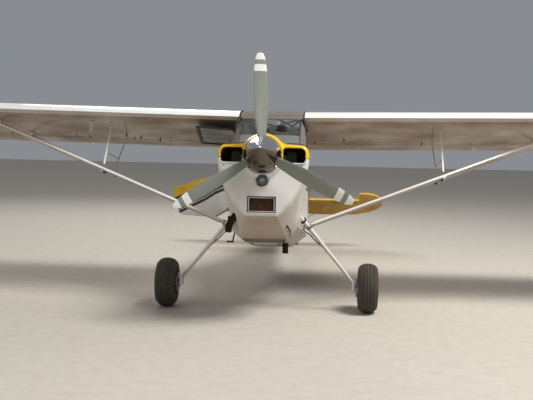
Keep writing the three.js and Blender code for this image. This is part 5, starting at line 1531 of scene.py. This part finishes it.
@dataclass
class Seat:
    """One seat: a tube frame, a sewn cushion and back with border seams, and a four-point belt."""

    name: str
    front_y: float
    under_z: float
    half: float = 196
    cushion_depth: float = 424
    cushion_height: float = 84
    back_foot: tuple[float, float] = (402, 44)
    back_head: tuple[float, float] = (552, 594)
    back_thick: float = 62
    voxel_mm: float = 8
    channels: tuple[float, ...] = (-98, 0, 98)
    channel_press: tuple[float, float] = (9, 5.5)
    border_press: tuple[float, float] = (7, 3)
    waist: tuple[float, float] = (0.035, 0.02)
    corner: float = 11

    def build(self) -> list[bpy.types.Object]:
        """Builds the seat, and returns the pads that are still to be swollen."""
        self.frame()
        cushion = self.block_form(f"seat_{self.name}_cushion",
            (0, self.front_y + self.cushion_depth / 2, self.under_z + 45),
            (2 * self.half, self.cushion_depth, self.cushion_height), 0.0)
        lean = math.atan2(self.back_head[0] - self.back_foot[0], self.back_head[1] - self.back_foot[1])
        middle_y = self.front_y + (self.back_foot[0] + self.back_head[0]) / 2 + self.back_thick / 2
        middle_z = self.under_z + (self.back_foot[1] + self.back_head[1]) / 2
        tall = math.hypot(self.back_head[0] - self.back_foot[0], self.back_head[1] - self.back_foot[1])
        back = self.block_form(f"seat_{self.name}_back", (0, middle_y, middle_z),
            (2 * self.half - 12, self.back_thick - 6, tall - 10), -lean)
        self.belts(lean, (0, middle_y, middle_z), tall)
        return [cushion, back]

    def block_form(self, name: str, middle: Point, size: Point, turn: float) -> bpy.types.Object:
        """Returns a pad's closed form before it is swollen: a box whose sides pull in between its corners."""
        part = bmesh.new()
        bmesh.ops.create_cube(part, size=1.0)
        bmesh.ops.subdivide_edges(part, edges=part.edges[:], cuts=5, use_grid_fill=True)
        for spot in part.verts:
            pull = 1 - self.waist[0] * (1 - (2 * spot.co.x) ** 2) - self.waist[1] * (1 - (2 * spot.co.z) ** 2)
            spot.co = Vector((spot.co.x * size[0] * pull, spot.co.y * size[1] * pull, spot.co.z * size[2] * 0.92))
        rounded(part, [edge for edge in part.edges if edge.calc_face_angle(0.0) > 1.0], self.corner)
        place = AIRFRAME @ Matrix.Translation(middle) @ Matrix.Rotation(turn, 4, "X")
        bmesh.ops.transform(part, matrix=place, verts=part.verts)
        data = bpy.data.meshes.new(name)
        creased(part, 180)
        part.to_mesh(data)
        part.free()
        return keep(bpy.data.objects.new(name, data), [SEAT_CLOTH], ROOT)

    def frame(self) -> None:
        """The welded tube frame under the cushion and up the back, on two floor rails."""
        piece = Piece(f"seat_{self.name}_frame")
        y, z = self.front_y, self.under_z
        for x in (142, -142):
            for start, stop, radius in (((70, -6), (400, -6), 11), ((80, -6), (64, -132), 10),
                    ((370, -6), (380, -132), 10), ((400, -6), (478, 60), 10), ((478, 60), (620, 590), 10)):
                piece.rod((x, y + start[0], z + start[1]), (x, y + stop[0], z + stop[1]), radius, TUBE_GREY)
            piece.block((x - 14, y + 40, z - 142), (x + 14, y + 410, z - 130), ALUMINIUM, 2)
        for dy, dz in ((620, 590), (70, -6), (400, -6)):
            piece.rod((-142, y + dy, z + dz), (142, y + dy, z + dz), 10, TUBE_GREY)
        piece.done(Slot.CABIN, replaces=(f"seat_{self.name}",))

    def belts(self, lean: float, middle: Point, tall: float) -> None:
        """Lap and shoulder belts with their buckle, lying on the pads."""
        piece = Piece(f"seat_{self.name}_belts")
        y, z = self.front_y, self.under_z + self.cushion_height + 30
        for side in (1, -1):
            lap = [(side * 206, y + 380, z - 70), (side * 196, y + 340, z - 4), (side * 130, y + 270, z + 4),
                (side * 70, y + 235, z + 5), (side * 26, y + 225, z + 5)]
            strap(piece, lap, (0, 1, 0.1), 46, 2.4, WEBBING)
            along = Vector((0, math.sin(lean), math.cos(lean)))
            out = Vector((0, -math.cos(lean), math.sin(lean)))
            head = Vector(middle) + along * tall / 2
            foot = Vector(middle) - along * tall / 2
            line = [head + out * -44 + Vector((side * 70, 0, -60)), head + along * 6 + Vector((side * 70, 0, 10)),
                head + out * 52 - along * 20 + PORT * (side * 72),
                head.lerp(foot, 0.45) + out * 58 + PORT * (side * 66),
                head.lerp(foot, 0.75) + out * 60 + PORT * (side * 50), Vector((side * 22, y + 232, z + 8))]
            strap(piece, line, (1, 0, 0), 42, 2.4, WEBBING)
        piece.turned([(0, 0), (26, 0), (28, 6), (22, 12), (0, 13)], (0, y + 228, z + 4), (0, -0.1, 1), STEEL, 28)
        piece.turned([(0, 13), (11, 13), (9, 16), (0, 17)], (0, y + 228, z + 4), (0, -0.1, 1), RED_KNOB, 16)
        piece.done(Slot.CLOTH, crease=60)


@dataclass
class Seats:
    """Both seats, and the one simulation that swells their pads."""

    cap_mm: float = 15
    pressure: float = 4.0
    frames: int = 20

    def build(self) -> None:
        """Builds the seats, swells their pads and sews their channels."""
        seats = (Seat("front", 170, 625), Seat("rear", 850, 640))
        pads = [(pad, seat) for seat in seats for pad in seat.build()]
        for pad, seat in pads:
            self.remesh(pad, seat.voxel_mm)
        self.swell([pad for pad, _ in pads])
        for pad, seat in pads:
            self.sew(pad, seat)

    @staticmethod
    def bake(pad: bpy.types.Object) -> None:
        """Makes what a pad's modifiers give its own mesh."""
        bpy.context.view_layer.update()
        graph = bpy.context.evaluated_depsgraph_get()
        data = bpy.data.meshes.new_from_object(pad.evaluated_get(graph))
        pad.modifiers.clear()
        pad.data = data

    def remesh(self, pad: bpy.types.Object, voxel_mm: float) -> None:
        """Covers a pad's form in even small faces."""
        even = pad.modifiers.new("even_faces", "REMESH")
        even.mode = "VOXEL"
        even.voxel_size = voxel_mm / 1000
        self.bake(pad)

    def swell(self, pads: Sequence[bpy.types.Object]) -> None:
        """Presses the pads' covers out from inside, as foam does, so far and no further."""
        before = [[spot.co.copy() for spot in pad.data.vertices] for pad in pads]
        for pad in pads:
            cloth = pad.modifiers.new("cover", "CLOTH").settings
            cloth.quality = 5
            cloth.use_pressure = True
            cloth.uniform_pressure_force = self.pressure
            cloth.effector_weights.gravity = 0.0
        for number in range(1, self.frames + 1):
            bpy.context.scene.frame_set(number)
        for pad, spots in zip(pads, before):
            self.bake(pad)
            for spot, start in zip(pad.data.vertices, spots):
                moved = spot.co - start
                if moved.length > self.cap_mm / 1000:
                    spot.co = start + moved.normalized() * self.cap_mm / 1000
        bpy.context.scene.frame_set(1)

    def sew(self, pad: bpy.types.Object, seat: Seat) -> None:
        """Subdivides a pad once, then presses its sewn channels and border seam in."""
        mesh = bmesh.new()
        mesh.from_mesh(pad.data)
        bmesh.ops.smooth_vert(mesh, verts=mesh.verts, factor=0.5, use_axis_x=True, use_axis_y=True, use_axis_z=True)
        bmesh.ops.subdivide_edges(mesh, edges=mesh.edges[:], cuts=1, use_grid_fill=True, smooth=0.6)
        mesh.normal_update()
        level = AIRFRAME.inverted()
        seam = seat.half - 16
        lines = [(line, *seat.channel_press) for line in seat.channels]
        lines += [(line, *seat.border_press) for line in (-seam, seam)]
        for spot in mesh.verts:
            across = (level @ spot.co).x
            for line, reach, depth in lines:
                near = abs(across - line) / reach
                if near < 1:
                    spot.co -= spot.normal * depth / 1000 * (1 - near * near) ** 2
        creased(mesh, 180)
        mesh.to_mesh(pad.data)
        mesh.free()


@dataclass
class MainWheel:
    """One main wheel: a ribbed tyre, its rim's bolts, valve and axle nut, and its disc brake."""

    side: int
    name: str
    half_track: float = 1015
    crown_radius: float = 247
    crown_drop: float = 15.5
    groove_width: float = 4.5
    groove_depth: float = 6
    groove_places: tuple[float, ...] = (-49, -17, 17, 49)
    disc_x: float = 902

    def build(self) -> None:
        """Builds the tyre, the rim's fittings and the brake."""
        self.body = f"main_wheel_{self.name}"
        self.tyre()
        self.rim()
        self.brake()

    def crown(self, place: float) -> float:
        """Returns the tread's radius at a distance from the tyre's middle."""
        return self.crown_radius - self.crown_drop * (abs(place) / 66) ** 2.3

    def tyre(self) -> None:
        """The tyre as one turned ring, with ribs, moulded shoulder lines and a bead line."""
        sidewall = [(93.4, -70), (101, -79), (122, -90), (127, -93.5), (131, -91.5), (150, -96), (168, -98),
            (188, -96), (204, -91), (207, -93), (210, -88), (221, -79)]
        tread: list[Point] = []
        for place in self.groove_places:
            top, floor = self.crown(place), self.crown(place) - self.groove_depth
            tread += [(top, place - self.groove_width), (floor, place - 2.4), (floor, place + 2.4),
                (top, place + self.groove_width)]
        tread += [(self.crown(place), place) for place in (-66, -58, -33, 0, 33, 58, 66)]
        tread.sort(key=lambda spot: spot[1])
        profile = [*sidewall, *tread, *[(r, -d) for r, d in reversed(sidewall)], (93.4, -70)]
        ring = Piece(f"tyre_{self.name}_dressed", GROUND)
        ring.turned(profile, (self.side * self.half_track, 0, 0), (self.side, 0, 0), TREAD, 96)
        ring.done(Slot.TYRE, self.body, crease=32, replaces=(f"tyre_{self.name}",))

    def rim(self) -> None:
        """Rim skin, flange rings, through bolts, valve, brake disc and axle nut."""
        skin(f"wheel_{self.name}", ALUMINIUM, crease=35)
        outer = PORT * self.side
        centre = outer * self.half_track
        disc = outer * self.disc_x
        fittings = Piece(f"rim_fittings_{self.name}", GROUND)
        for out in (-outer, outer):
            start = centre + out * 53
            fittings.turned([(84, 0), (92.5, 0), (97, 12), (95, 17), (91, 16), (86, 7), (84, 0)], start, out,
                ALUMINIUM, 48)
            fittings.circle(6, 78, start, out, (-2, 9), 6.5, STEEL)
            fittings.circle(6, 78, start, out, (9, 14), 3.6, STEEL, 8)
        fittings.turned([(20, 0), (31, 0), (31, 8), (27, 12), (20, 12), (20, 0)], centre + outer * 92, outer, STEEL,
            24)
        valve = centre + outer * 60 + UP * 60
        fittings.rod(valve, valve + outer * 26 + UP * 6, 4, KNOB, 3.4, 10)
        for out in (-outer, outer):
            fittings.turned([(62, 0), (97.5, 0), (97.5, 1.2), (62, 1.2), (62, 0)], disc + out * 3, out, DISC_STEEL,
                48)
            for radius, first in ((72, 0), (81, 10), (90, 20)):
                fittings.circle(12, radius, disc, out, (3.4, 4.5), 3, ENGINE_BLACK, 8, first)
        fittings.done(Slot.METAL, self.body)
        nut = Piece(f"axle_nut_{self.name}", GROUND)
        end = centre + outer * 80
        nut.rod(end - outer * 2, end + outer * 11, 17, STEEL, sides=6, bevel=1.5)
        nut.rod(end + outer * 10, end + outer * 16, 10, STEEL, 9, 16)
        nut.done(Slot.STEEL)

    def brake(self) -> None:
        """Bolts, bleed nipple and torque plate on the caliper."""
        piece = Piece(f"brake_fittings_{self.name}", GROUND)
        inward = PORT * -self.side
        for y, z in ((48, -18), (48, 22), (84, -18), (84, 22)):
            place = Vector((self.side * (self.disc_x - 34), y, z))
            piece.rod(place - inward * 2, place + inward * 7, 6, STEEL, sides=6)
        for z in (-12, 16):
            place = Vector((self.side * (self.disc_x - 34), 66, z))
            piece.rod(place - inward * 2, place + inward * 10, 12, ALUMINIUM, 11, 20)
        bleed = Vector((self.side * (self.disc_x - 24), 84, 33))
        piece.rod(bleed, bleed + Vector((0, 6, 16)), 4, STEEL, 2.5, 8)
        piece.turned([(20, 0), (52, 0), (52, 3), (20, 3), (20, 0)], (self.side * 885.5, 0, 0), (self.side, 0, 0),
            STEEL, 32)
        piece.circle(4, 40, (self.side * 885, 0, 0), inward, (0, 7), 5.5, STEEL, first=45)
        piece.done(Slot.STEEL)


@dataclass
class GearLegs:
    """Brake hoses with their clips, knee clamps and the legs' root boots."""

    root: Point = (292, -345, 705)
    knee: Point = (410, -198, 584)
    foot: Point = (872, 0, 44)

    def along(self, share: float, offset: Point = (0, 0, 0)) -> Vector:
        """Returns a point down the lower leg, moved off its middle."""
        return Vector(self.knee).lerp(Vector(self.foot), share) + Vector(offset)

    def build(self) -> None:
        """Builds both legs' fittings."""
        for side, name in SIDES:
            flip = Matrix.Scale(side, 4, (1, 0, 0))
            run = [(345, -120, 590), (372, -130, 545), self.along(0.06, (-6, 8, -48)),
                self.along(0.14, (-10, 6, -42)), self.along(0.26, (-10, 14, -24)), self.along(0.4, (-6, 21, -7)),
                self.along(0.7, (-4, 19, -5)), self.along(0.92, (-3, 20, -4)), (868, 60, 38), (872, 66, 26)]
            hose(f"brake_hose_{name}", [flip @ Vector(point) for point in run], 5.5, SEAL)
            piece = Piece(f"leg_clips_{name}")
            down = (Vector(self.foot) - Vector(self.knee)).normalized()
            for share, size in ((0.42, 20), (0.8, 16.5)):
                middle = self.along(share, (-5, 4, -5))
                piece.rod(flip @ (middle - down * 6), flip @ (middle + down * 6), size, WHITE, sides=20, bevel=1)
            axis = (Vector(self.knee) - Vector(self.root)).normalized()
            place = Vector(self.root).lerp(Vector(self.knee), 0.55)
            piece.turned([(24, -9), (34, -9), (37, -4), (37, 4), (32, 9), (24, 9), (24, -9)], flip @ place,
                flip @ axis, SEAL, 24)
            knee = Vector(self.knee)
            piece.rod(flip @ (knee - down * 4), flip @ (knee + down * 26), 27, STEEL, sides=24, bevel=1.5)
            piece.rod(flip @ (knee + Vector((0, -34, 4))), flip @ (knee + Vector((0, 34, 4))), 6, STEEL, sides=6)
            piece.done(Slot.STEEL)


@dataclass
class Wings:
    """What stands on the wings: root seals, caps, lamps, hinges, covers, probe, ties and strut fittings."""

    root_x: float = 335
    tip_x: float = 5200
    jury_x: float = 1770
    strut_foot: Point = (428, -122, 608)
    rear_foot: Point = (428, -38, 608)
    strut_top: tuple[float, float] = (3030, 360)
    rear_top: tuple[float, float] = (2930, 1120)

    def build(self) -> None:
        """Builds the wings' pieces."""
        self.port = Surface("wing_left")
        self.starboard = Surface("wing_right")
        self.root_seals()
        self.covers()
        self.lamps()
        self.hinges()
        self.probe()
        self.strut_fittings()
        self.jury_clamps()

    def under(self, x: float, y: float) -> Vector:
        """Returns a point on a wing's underside."""
        return (self.port if x > 0 else self.starboard).below(x, y)[0]

    def over(self, x: float, y: float) -> tuple[Vector, Vector]:
        """Returns a point and normal on a wing's upper side."""
        return (self.port if x > 0 else self.starboard).above(x, y)

    def root_seals(self) -> None:
        """A rubber seal that closes the gap along each wing root."""
        for side, name in SIDES:
            x = side * (self.root_x + 3)
            inwards = PORT * (-side * 8)
            ys = [14, 40, 95, 160, 260, 400, 560, 740, 920, 1080, 1190]
            upper = [self.over(x, y)[0] + inwards for y in ys]
            lower = [self.under(x, y) + inwards for y in ys]
            nose = Vector((x, -2, (upper[0].z + lower[0].z) / 2)) + inwards
            hose(f"root_seal_{name}", [*reversed(upper), nose, *lower], 8.5, SEAL)

    def covers(self) -> None:
        """Fuel caps on top, and round inspection covers and drain grommets below."""
        caps = Piece("fuel_caps")
        for side in (1, -1):
            place, normal = self.over(side * 480, 450)
            caps.turned([(0, -1), (58, -1), (58, 2), (50, 5), (38, 5), (38, 9), (32, 13), (0, 14)], place, normal,
                ALUMINIUM, 36)
            caps.block(place + normal * 13 - Vector((24, 5, 0)), place + normal * 13 + Vector((24, 5, 8)), STEEL, 2)
        caps.done(Slot.METAL)
        plates = Piece("inspection_covers")
        for side in (1, -1):
            for x, y in ((700, 700), (1400, 420), (1400, 980), (2150, 700), (2150, 1120), (3300, 620), (3300, 1120),
                    (4100, 700), (4700, 900), (2600, 560)):
                place = self.under(side * x, y)
                plates.turned([(0, -1), (57, -1), (57, 1.4), (51, 2.8), (0, 2.8)], place, (0, 0, -1), WHITE, 28)
                for turn in (0, 90, 180, 270):
                    screw = place + spoke(turn, "XY") * 44
                    plates.rod(screw, screw - UP * 4.4, 3.4, STEEL, 2.4, 8)
            for x in (520, 760, 1100, 1900, 2700, 3900, 4600):
                place = self.under(side * x, 1185)
                plates.turned([(4, -1), (12, -1), (12, 1.6), (8, 2.8), (4, 2), (4, -1)], place, (0, 0, -1), STEEL, 16)
        plates.done(Slot.WHITE)

    def lamps(self) -> None:
        """A red lamp on the port tip, a green one on the starboard tip, each with a clear tail lens."""
        for side, name, lens in ((1, "left", RED_LENS), (-1, "right", GREEN_LENS)):
            place, normal = self.over(side * (self.tip_x - 60), 330)
            lamp = Piece(f"tip_lamp_{name}")
            lamp.ball(place + normal * 1, (20, 66, 14), WHITE, 24)
            lamp.ball(place + Vector((side * 6, -36, 9)), (14, 26, 12), lens, 24)
            lamp.ball(place + Vector((side * 2, 44, 8)), (9, 17, 9), LENS, 20)
            lamp.done(Slot.GLASS)

    def hinges(self) -> None:
        """Hinge brackets under the wings' rear edge, and a horn with its pin under each moving surface."""
        brackets = Piece("hinge_brackets")
        for x in (430, 1050, 1700, 2240, 2400, 3100, 3950, 4740):
            for side in (1, -1):
                low = self.under(side * x, 1150)
                brackets.plate([(side * x - 2, 1096, low.z + 3), (side * x - 2, 1196, low.z + 3),
                    (side * x - 2, 1200, low.z - 18), (side * x - 2, 1176, low.z - 22)], 4, ALUMINIUM)
                brackets.rod((side * x - 6, 1188, low.z - 12), (side * x + 9, 1188, low.z - 12), 4, STEEL, sides=6)
        brackets.done(Slot.METAL)
        for node, body, x in (("flap_left", "flap_port", 1300), ("flap_right", "flap_starboard", -1300),
                ("aileron_left", "aileron_port", 3400), ("aileron_right", "aileron_starboard", -3400)):
            z = Surface(node).below(x, 1330)[0].z
            horn = Piece(f"{node}_horn")
            horn.plate([(x - 2, 1302, z + 8), (x - 2, 1372, z + 8), (x - 2, 1318, z - 52), (x - 2, 1306, z - 52)], 4,
                WHITE, 1)
            horn.rod((x - 9, 1312, z - 44), (x + 11, 1312, z - 44), 4.5, STEEL, sides=8)
            horn.done(Slot.WHITE, body)

    def probe(self) -> None:
        """The air probe's mast under the starboard wing, and small vents under both."""
        top = self.under(-1960, 250)
        mast = Piece("air_probe")
        mast.turned([(0, 0), (34, 0), (34, 3), (22, 6), (0, 6)], top, (0, 0, -1), ALUMINIUM, 24)
        mast.rod(top, top - Vector((0, 10, 110)), 9, WHITE, 8, 12)
        mast.rod(top - Vector((0, -4, 112)), top - Vector((0, 120, 116)), 7.5, ALUMINIUM, 5.5, 16)
        mast.done(Slot.METAL)
        small = Piece("wing_vents")
        for x, y in ((-1742, 920), (-1598, 1050), (-1390, 1150), (-3114, 980), (764, 900), (438, 1080), (1663, 1150),
                (2939, 900)):
            place = self.under(x, y)
            small.rod(place + UP * 2, place - Vector((0, -10, 30)), 8, KNOB, 6, 10)
            small.turned([(0, 0), (13, 0), (13, 2), (0, 3)], place, (0, 0, -1), STEEL, 16)
        small.done(Slot.METAL)

    def strut_fittings(self) -> None:
        """Fork bolts at the struts' ends, and the tie-down rings."""
        piece = Piece("strut_fittings")
        for side in (1, -1):
            for y in (-122, -38):
                foot = Vector((side * 412, y, 604))
                piece.rod(foot - AFT * 17, foot + AFT * 17, 9, STEEL, sides=6)
                piece.rod(foot - AFT * 23, foot + AFT * 23, 5, STEEL, sides=10)
                piece.rod(foot + Vector((side * 6, 0, 2)), foot + Vector((side * 46, 0, 19)), 25, ALUMINIUM, 22, 20,
                    2)
            for x, y in (self.strut_top, self.rear_top):
                head = self.under(side * x, y) - UP * 4
                for offset in (-14, 14):
                    place = head + AFT * offset
                    piece.rod(place - PORT * 36, place + PORT * 36, 6, STEEL, sides=6)
        piece.done(Slot.STEEL)
        ties = Piece("tie_down_rings")
        for side in (1, -1):
            low = self.under(side * 3180, 360).z
            ring = [Vector((side * 3180, 360 + y, low - 10 + z)) for y, z in arc((0, 0), 17, 0, 360, 21)]
            for start, stop in zip(ring, ring[1:]):
                ties.rod(start, stop, 4, STEEL, sides=8)
        ties.done(Slot.STEEL)

    def jury_clamps(self) -> None:
        """A clamp round each main strut where the jury strut stands."""
        clamps = Piece("jury_clamps")
        for foot, top, half, chord in ((self.strut_foot, self.strut_top, 23, 96),
                (self.rear_foot, self.rear_top, 18, 74)):
            start = Vector(foot)
            end = self.under(*top) - UP * 34
            share = (self.jury_x - start.x) / (end.x - start.x)
            along = (end - start).normalized()
            turn = along.to_track_quat("Z", "Y").to_matrix().to_4x4()
            part = bmesh.new()
            bmesh.ops.create_cone(part, cap_ends=False, segments=28, radius1=1.0, radius2=1.0, depth=40)
            bmesh.ops.scale(part, vec=(chord / 2 + 2, half + 2, 1), verts=part.verts)
            bmesh.ops.solidify(part, geom=part.faces[:], thickness=-2.5)
            bmesh.ops.transform(part, matrix=Matrix.Translation(start.lerp(end, share)) @ turn, verts=part.verts)
            clamps.take(part, ALUMINIUM)
            lug = start.lerp(end, share)
            clamps.rod(lug + Vector((-12, 0, half + 8)), lug + Vector((12, 0, half + 8)), 6, STEEL, sides=6)
        clamps.done(Slot.METAL, mirrored=True)


@dataclass
class Tail:
    """Hinges, horns, cables, turnbuckles, the tail spring's leaves, lamp and tail wheel."""

    stabiliser_z: float = 1385
    hinge_y: float = 5070
    guy: Point = (760, 4800, 1385)
    fin_eye: Point = (19, 4920, 1960)
    stern_eye: Point = (60, 4860, 990)

    def build(self) -> None:
        """Builds the tail's pieces."""
        self.hinges()
        self.horns()
        self.turnbuckles()
        self.spring()
        self.lamp()
        self.wheel()

    def hinges(self) -> None:
        """Barrel hinges between the stabiliser and the elevator, and up the fin's rear edge."""
        piece = Piece("tail_hinges")
        for x in (150, 620, 1060):
            for side in (1, -1):
                piece.rod((side * x - 22, self.hinge_y, self.stabiliser_z),
                    (side * x + 22, self.hinge_y, self.stabiliser_z), 7.5, STEEL, sides=12)
                piece.block((side * x - 16, self.hinge_y - 62, self.stabiliser_z + 16),
                    (side * x + 16, self.hinge_y - 18, self.stabiliser_z + 20), STEEL, 1)
        for z in (1150, 1520, 1960):
            piece.rod((0, 5094, z - 24), (0, 5094, z + 24), 7, STEEL, sides=12)
            for x in (-20, 16):
                piece.block((x, 5030, z - 14), (x + 4, 5078, z + 14), STEEL, 1)
        piece.done(Slot.STEEL)

    def horns(self) -> None:
        """Control horns and the cables that run forward from them."""
        rudder = Piece("rudder_horn")
        rudder.plate([(-150, 5112, 1090), (150, 5112, 1090), (150, 5140, 1090), (20, 5180, 1090), (-20, 5180, 1090),
            (-150, 5140, 1090)], 6, STEEL, 1)
        for side in (1, -1):
            rudder.rod((side * 140, 5124, 1087), (side * 140, 5124, 1104), 6, STEEL, sides=10)
        rudder.done(Slot.STEEL, "rudder_body")
        elevator = Piece("elevator_horn", ELEVATOR)
        for side in (1, -1):
            elevator.plate([(side * 70 - 2, 5066, 1400), (side * 70 - 2, 5110, 1400), (side * 70 - 2, 5084, 1478),
                (side * 70 - 2, 5072, 1478)], 4, WHITE, 1)
        elevator.done(Slot.WHITE, "elevator_body")
        tab = Piece("trim_tab", ELEVATOR)
        tab.block((330, 5380, 1400), (700, 5384, 1403), YELLOW, 1)
        for x in (360, 515, 670):
            tab.rod((x - 16, 5380, 1402), (x + 16, 5380, 1402), 5, STEEL, sides=10)
        tab.done(Slot.YELLOW, "elevator_body")
        for side, name in SIDES:
            line = [(side * 140, 5128, 1080), (side * 118, 4700, 1083), (side * 90, 4330, 1085)]
            hose(f"rudder_cable_{name}", line, 2.5, STEEL, smooth=False)

    def turnbuckles(self) -> None:
        """A turnbuckle in each brace wire, and a tang at each of their ends."""
        piece = Piece("brace_fittings")
        foot = Vector(self.guy)
        for end, rise in ((self.fin_eye, 34), (self.stern_eye, -34)):
            start = foot + UP * rise
            stop = Vector(end)
            a, b = start.lerp(stop, 0.14), start.lerp(stop, 0.3)
            middle = (a + b) / 2
            piece.rod(a, middle, 5.5, ALUMINIUM, 9.5, 12)
            piece.rod(middle, b, 9.5, ALUMINIUM, 5.5, 12)
            tang = start.lerp(stop, 0.05)
            piece.rod(start, tang, 11, STEEL, 8, 10)
            piece.rod(stop, stop.lerp(start, 0.05), 11, STEEL, 7, 10)
        piece.done(Slot.STEEL, mirrored=True)

    def spring(self) -> None:
        """Extra leaves and a clamp with its bolts under the stern."""
        piece = Piece("spring_leaves")
        for at, (end_y, drop) in enumerate(((5000, 14), (4900, 24))):
            line = [(0, 4700, 886 - drop), (0, 4800, 904 - drop), (0, end_y - 60, 920 - drop + 0.14 * (end_y - 4900)),
                (0, end_y, 928 - drop + 0.14 * (end_y - 4900))]
            strap(piece, line, (1, 0, 0), 44 - 3 * at, 8, POWDER)
        piece.block((-32, 4772, 862), (32, 4806, 944), STEEL, 3)
        for x in (-25, 25):
            for y in (4780, 4798):
                piece.rod((x, y, 852), (x, y, 952), 5, STEEL, sides=6)
        piece.done(Slot.STEEL)

    def lamp(self) -> None:
        """A clear tail lamp in a white housing on the rudder's rear edge."""
        piece = Piece("tail_lamp")
        piece.block((-13, 5478, 1722), (13, 5512, 1786), WHITE, 6, 3)
        piece.ball((0, 5514, 1754), (11, 16, 24), LENS, 24)
        piece.done(Slot.GLASS, "rudder_body")

    def wheel(self) -> None:
        """The tail wheel's grooved tyre, its hub bolts and the axle nuts."""
        centre = frame_middle("tail_tyre")
        ring = Piece("tail_tyre_dressed", Matrix.Translation(centre) @ MILLIMETRES)
        side = [(44.2, -24), (56, -29), (70, -32), (84, -31.5), (92, -29.5), (97.5, -22)]
        tread = [(99.6, -14), (99.8, -11), (95.8, -9.6), (95.8, -7.4), (99.8, -6), (100, 0)]
        half = side + tread
        profile = half + [(r, -d) for r, d in reversed(half[:-1])] + [half[0]]
        ring.turned(profile, (0, 0, 0), (1, 0, 0), TREAD, 64)
        ring.done(Slot.TYRE, "tail_wheel", crease=32, replaces=("tail_tyre",))
        bolts = Piece("tail_hub_bolts", Matrix.Translation(centre) @ MILLIMETRES)
        for out in (-1, 1):
            bolts.circle(5, 31, (out * 19, 0, 0), (out, 0, 0), (0, 5), 4.5, STEEL)
        bolts.done(Slot.STEEL, "tail_wheel")
        nuts = Piece("tail_axle_nuts", Matrix.Translation(centre) @ MILLIMETRES)
        for out in (-1, 1):
            nuts.rod((out * 54, 0, 0), (out * 62, 0, 0), 11, STEEL, sides=6, bevel=1)
        nuts.done(Slot.STEEL, "tail_swivel")


@dataclass
class Studio:
    """Floor, lights and the camera at the photograph's angle."""

    focal_px: float = 836.0
    frame_px: float = 533.0
    distance: float = 8.38
    height: float = 1.655
    yaw: float = 3.87
    extra_yaw: float = 0.13
    tilt: float = -3.75
    roll: float = 1.18

    def build(self) -> None:
        """Builds the studio."""
        bpy.context.scene.view_settings.view_transform = "Standard"
        self.floor()
        self.lights()
        self.camera()

    def floor(self) -> None:
        """A plain pale floor."""
        mesh = bmesh.new()
        bmesh.ops.create_grid(mesh, x_segments=1, y_segments=1, size=60.0)
        data = bpy.data.meshes.new("studio_floor")
        mesh.to_mesh(data)
        mesh.free()
        floor = bpy.data.objects.new("studio_floor", data)
        data.materials.append(FLOOR_PAINT.material())
        bpy.context.scene.collection.objects.link(floor)

    def lights(self) -> None:
        """A soft sky, a broad key from high on the right, and a fill from the left."""
        world = bpy.data.worlds.new("studio_sky")
        bpy.context.scene.world = world
        world.use_nodes = True
        sky = world.node_tree.nodes["Background"]
        sky.inputs["Color"].default_value = linear("#dfe5ec")
        sky.inputs["Strength"].default_value = 0.34
        for name, place, size, power in (("key", (7.0, -5.5, 12.0), 5.0, 1950.0),
                ("fill", (-9.0, -7.0, 4.0), 8.0, 120.0), ("rim", (-4.0, 9.0, 9.0), 6.0, 420.0)):
            data = bpy.data.lights.new(name, "AREA")
            data.size = size
            data.energy = power
            lamp = bpy.data.objects.new(name, data)
            lamp.location = place
            lamp.rotation_euler = (Vector((0, -0.5, 1.0)) - Vector(place)).to_track_quat("-Z", "Y").to_euler()
            bpy.context.scene.collection.objects.link(lamp)

    def camera(self) -> None:
        """A camera set from the fit of the photograph's wheels, wing, spinner and tail."""
        yaw = math.radians(self.yaw)
        heading = math.radians(self.yaw + self.extra_yaw)
        tilt, roll = math.radians(self.tilt), math.radians(self.roll)
        place = Vector((math.sin(yaw) * self.distance, AXLE.y - math.cos(yaw) * self.distance, self.height))
        level = Vector((-math.sin(heading), math.cos(heading), 0))
        right = Vector((level.y, -level.x, 0))
        ahead = level * math.cos(tilt) + UP * math.sin(tilt)
        above = UP * math.cos(tilt) - level * math.sin(tilt)
        across = right * math.cos(roll) + above * math.sin(roll)
        upright = above * math.cos(roll) - right * math.sin(roll)
        data = bpy.data.cameras.new("camera")
        data.sensor_width = 36.0
        data.lens = self.focal_px * 36.0 / self.frame_px
        camera = bpy.data.objects.new("camera", data)
        turn = Matrix((across, upright, -ahead)).transposed().to_4x4()
        camera.matrix_world = Matrix.Translation(place) @ turn
        bpy.context.scene.collection.objects.link(camera)
        bpy.context.scene.camera = camera


def main() -> None:
    """Builds every sub-assembly."""
    logging.basicConfig(level=logging.INFO, format="%(message)s")
    for part in (Studio(), Skins(), Cowling(), Spinner(), Windscreen(), Body(), DoorAndWindow(), Cabin(), Seats(),
            MainWheel(1, "left"), MainWheel(-1, "right"), GearLegs(), Wings(), Tail()):
        part.build()


if __name__ == "__main__":
    main()
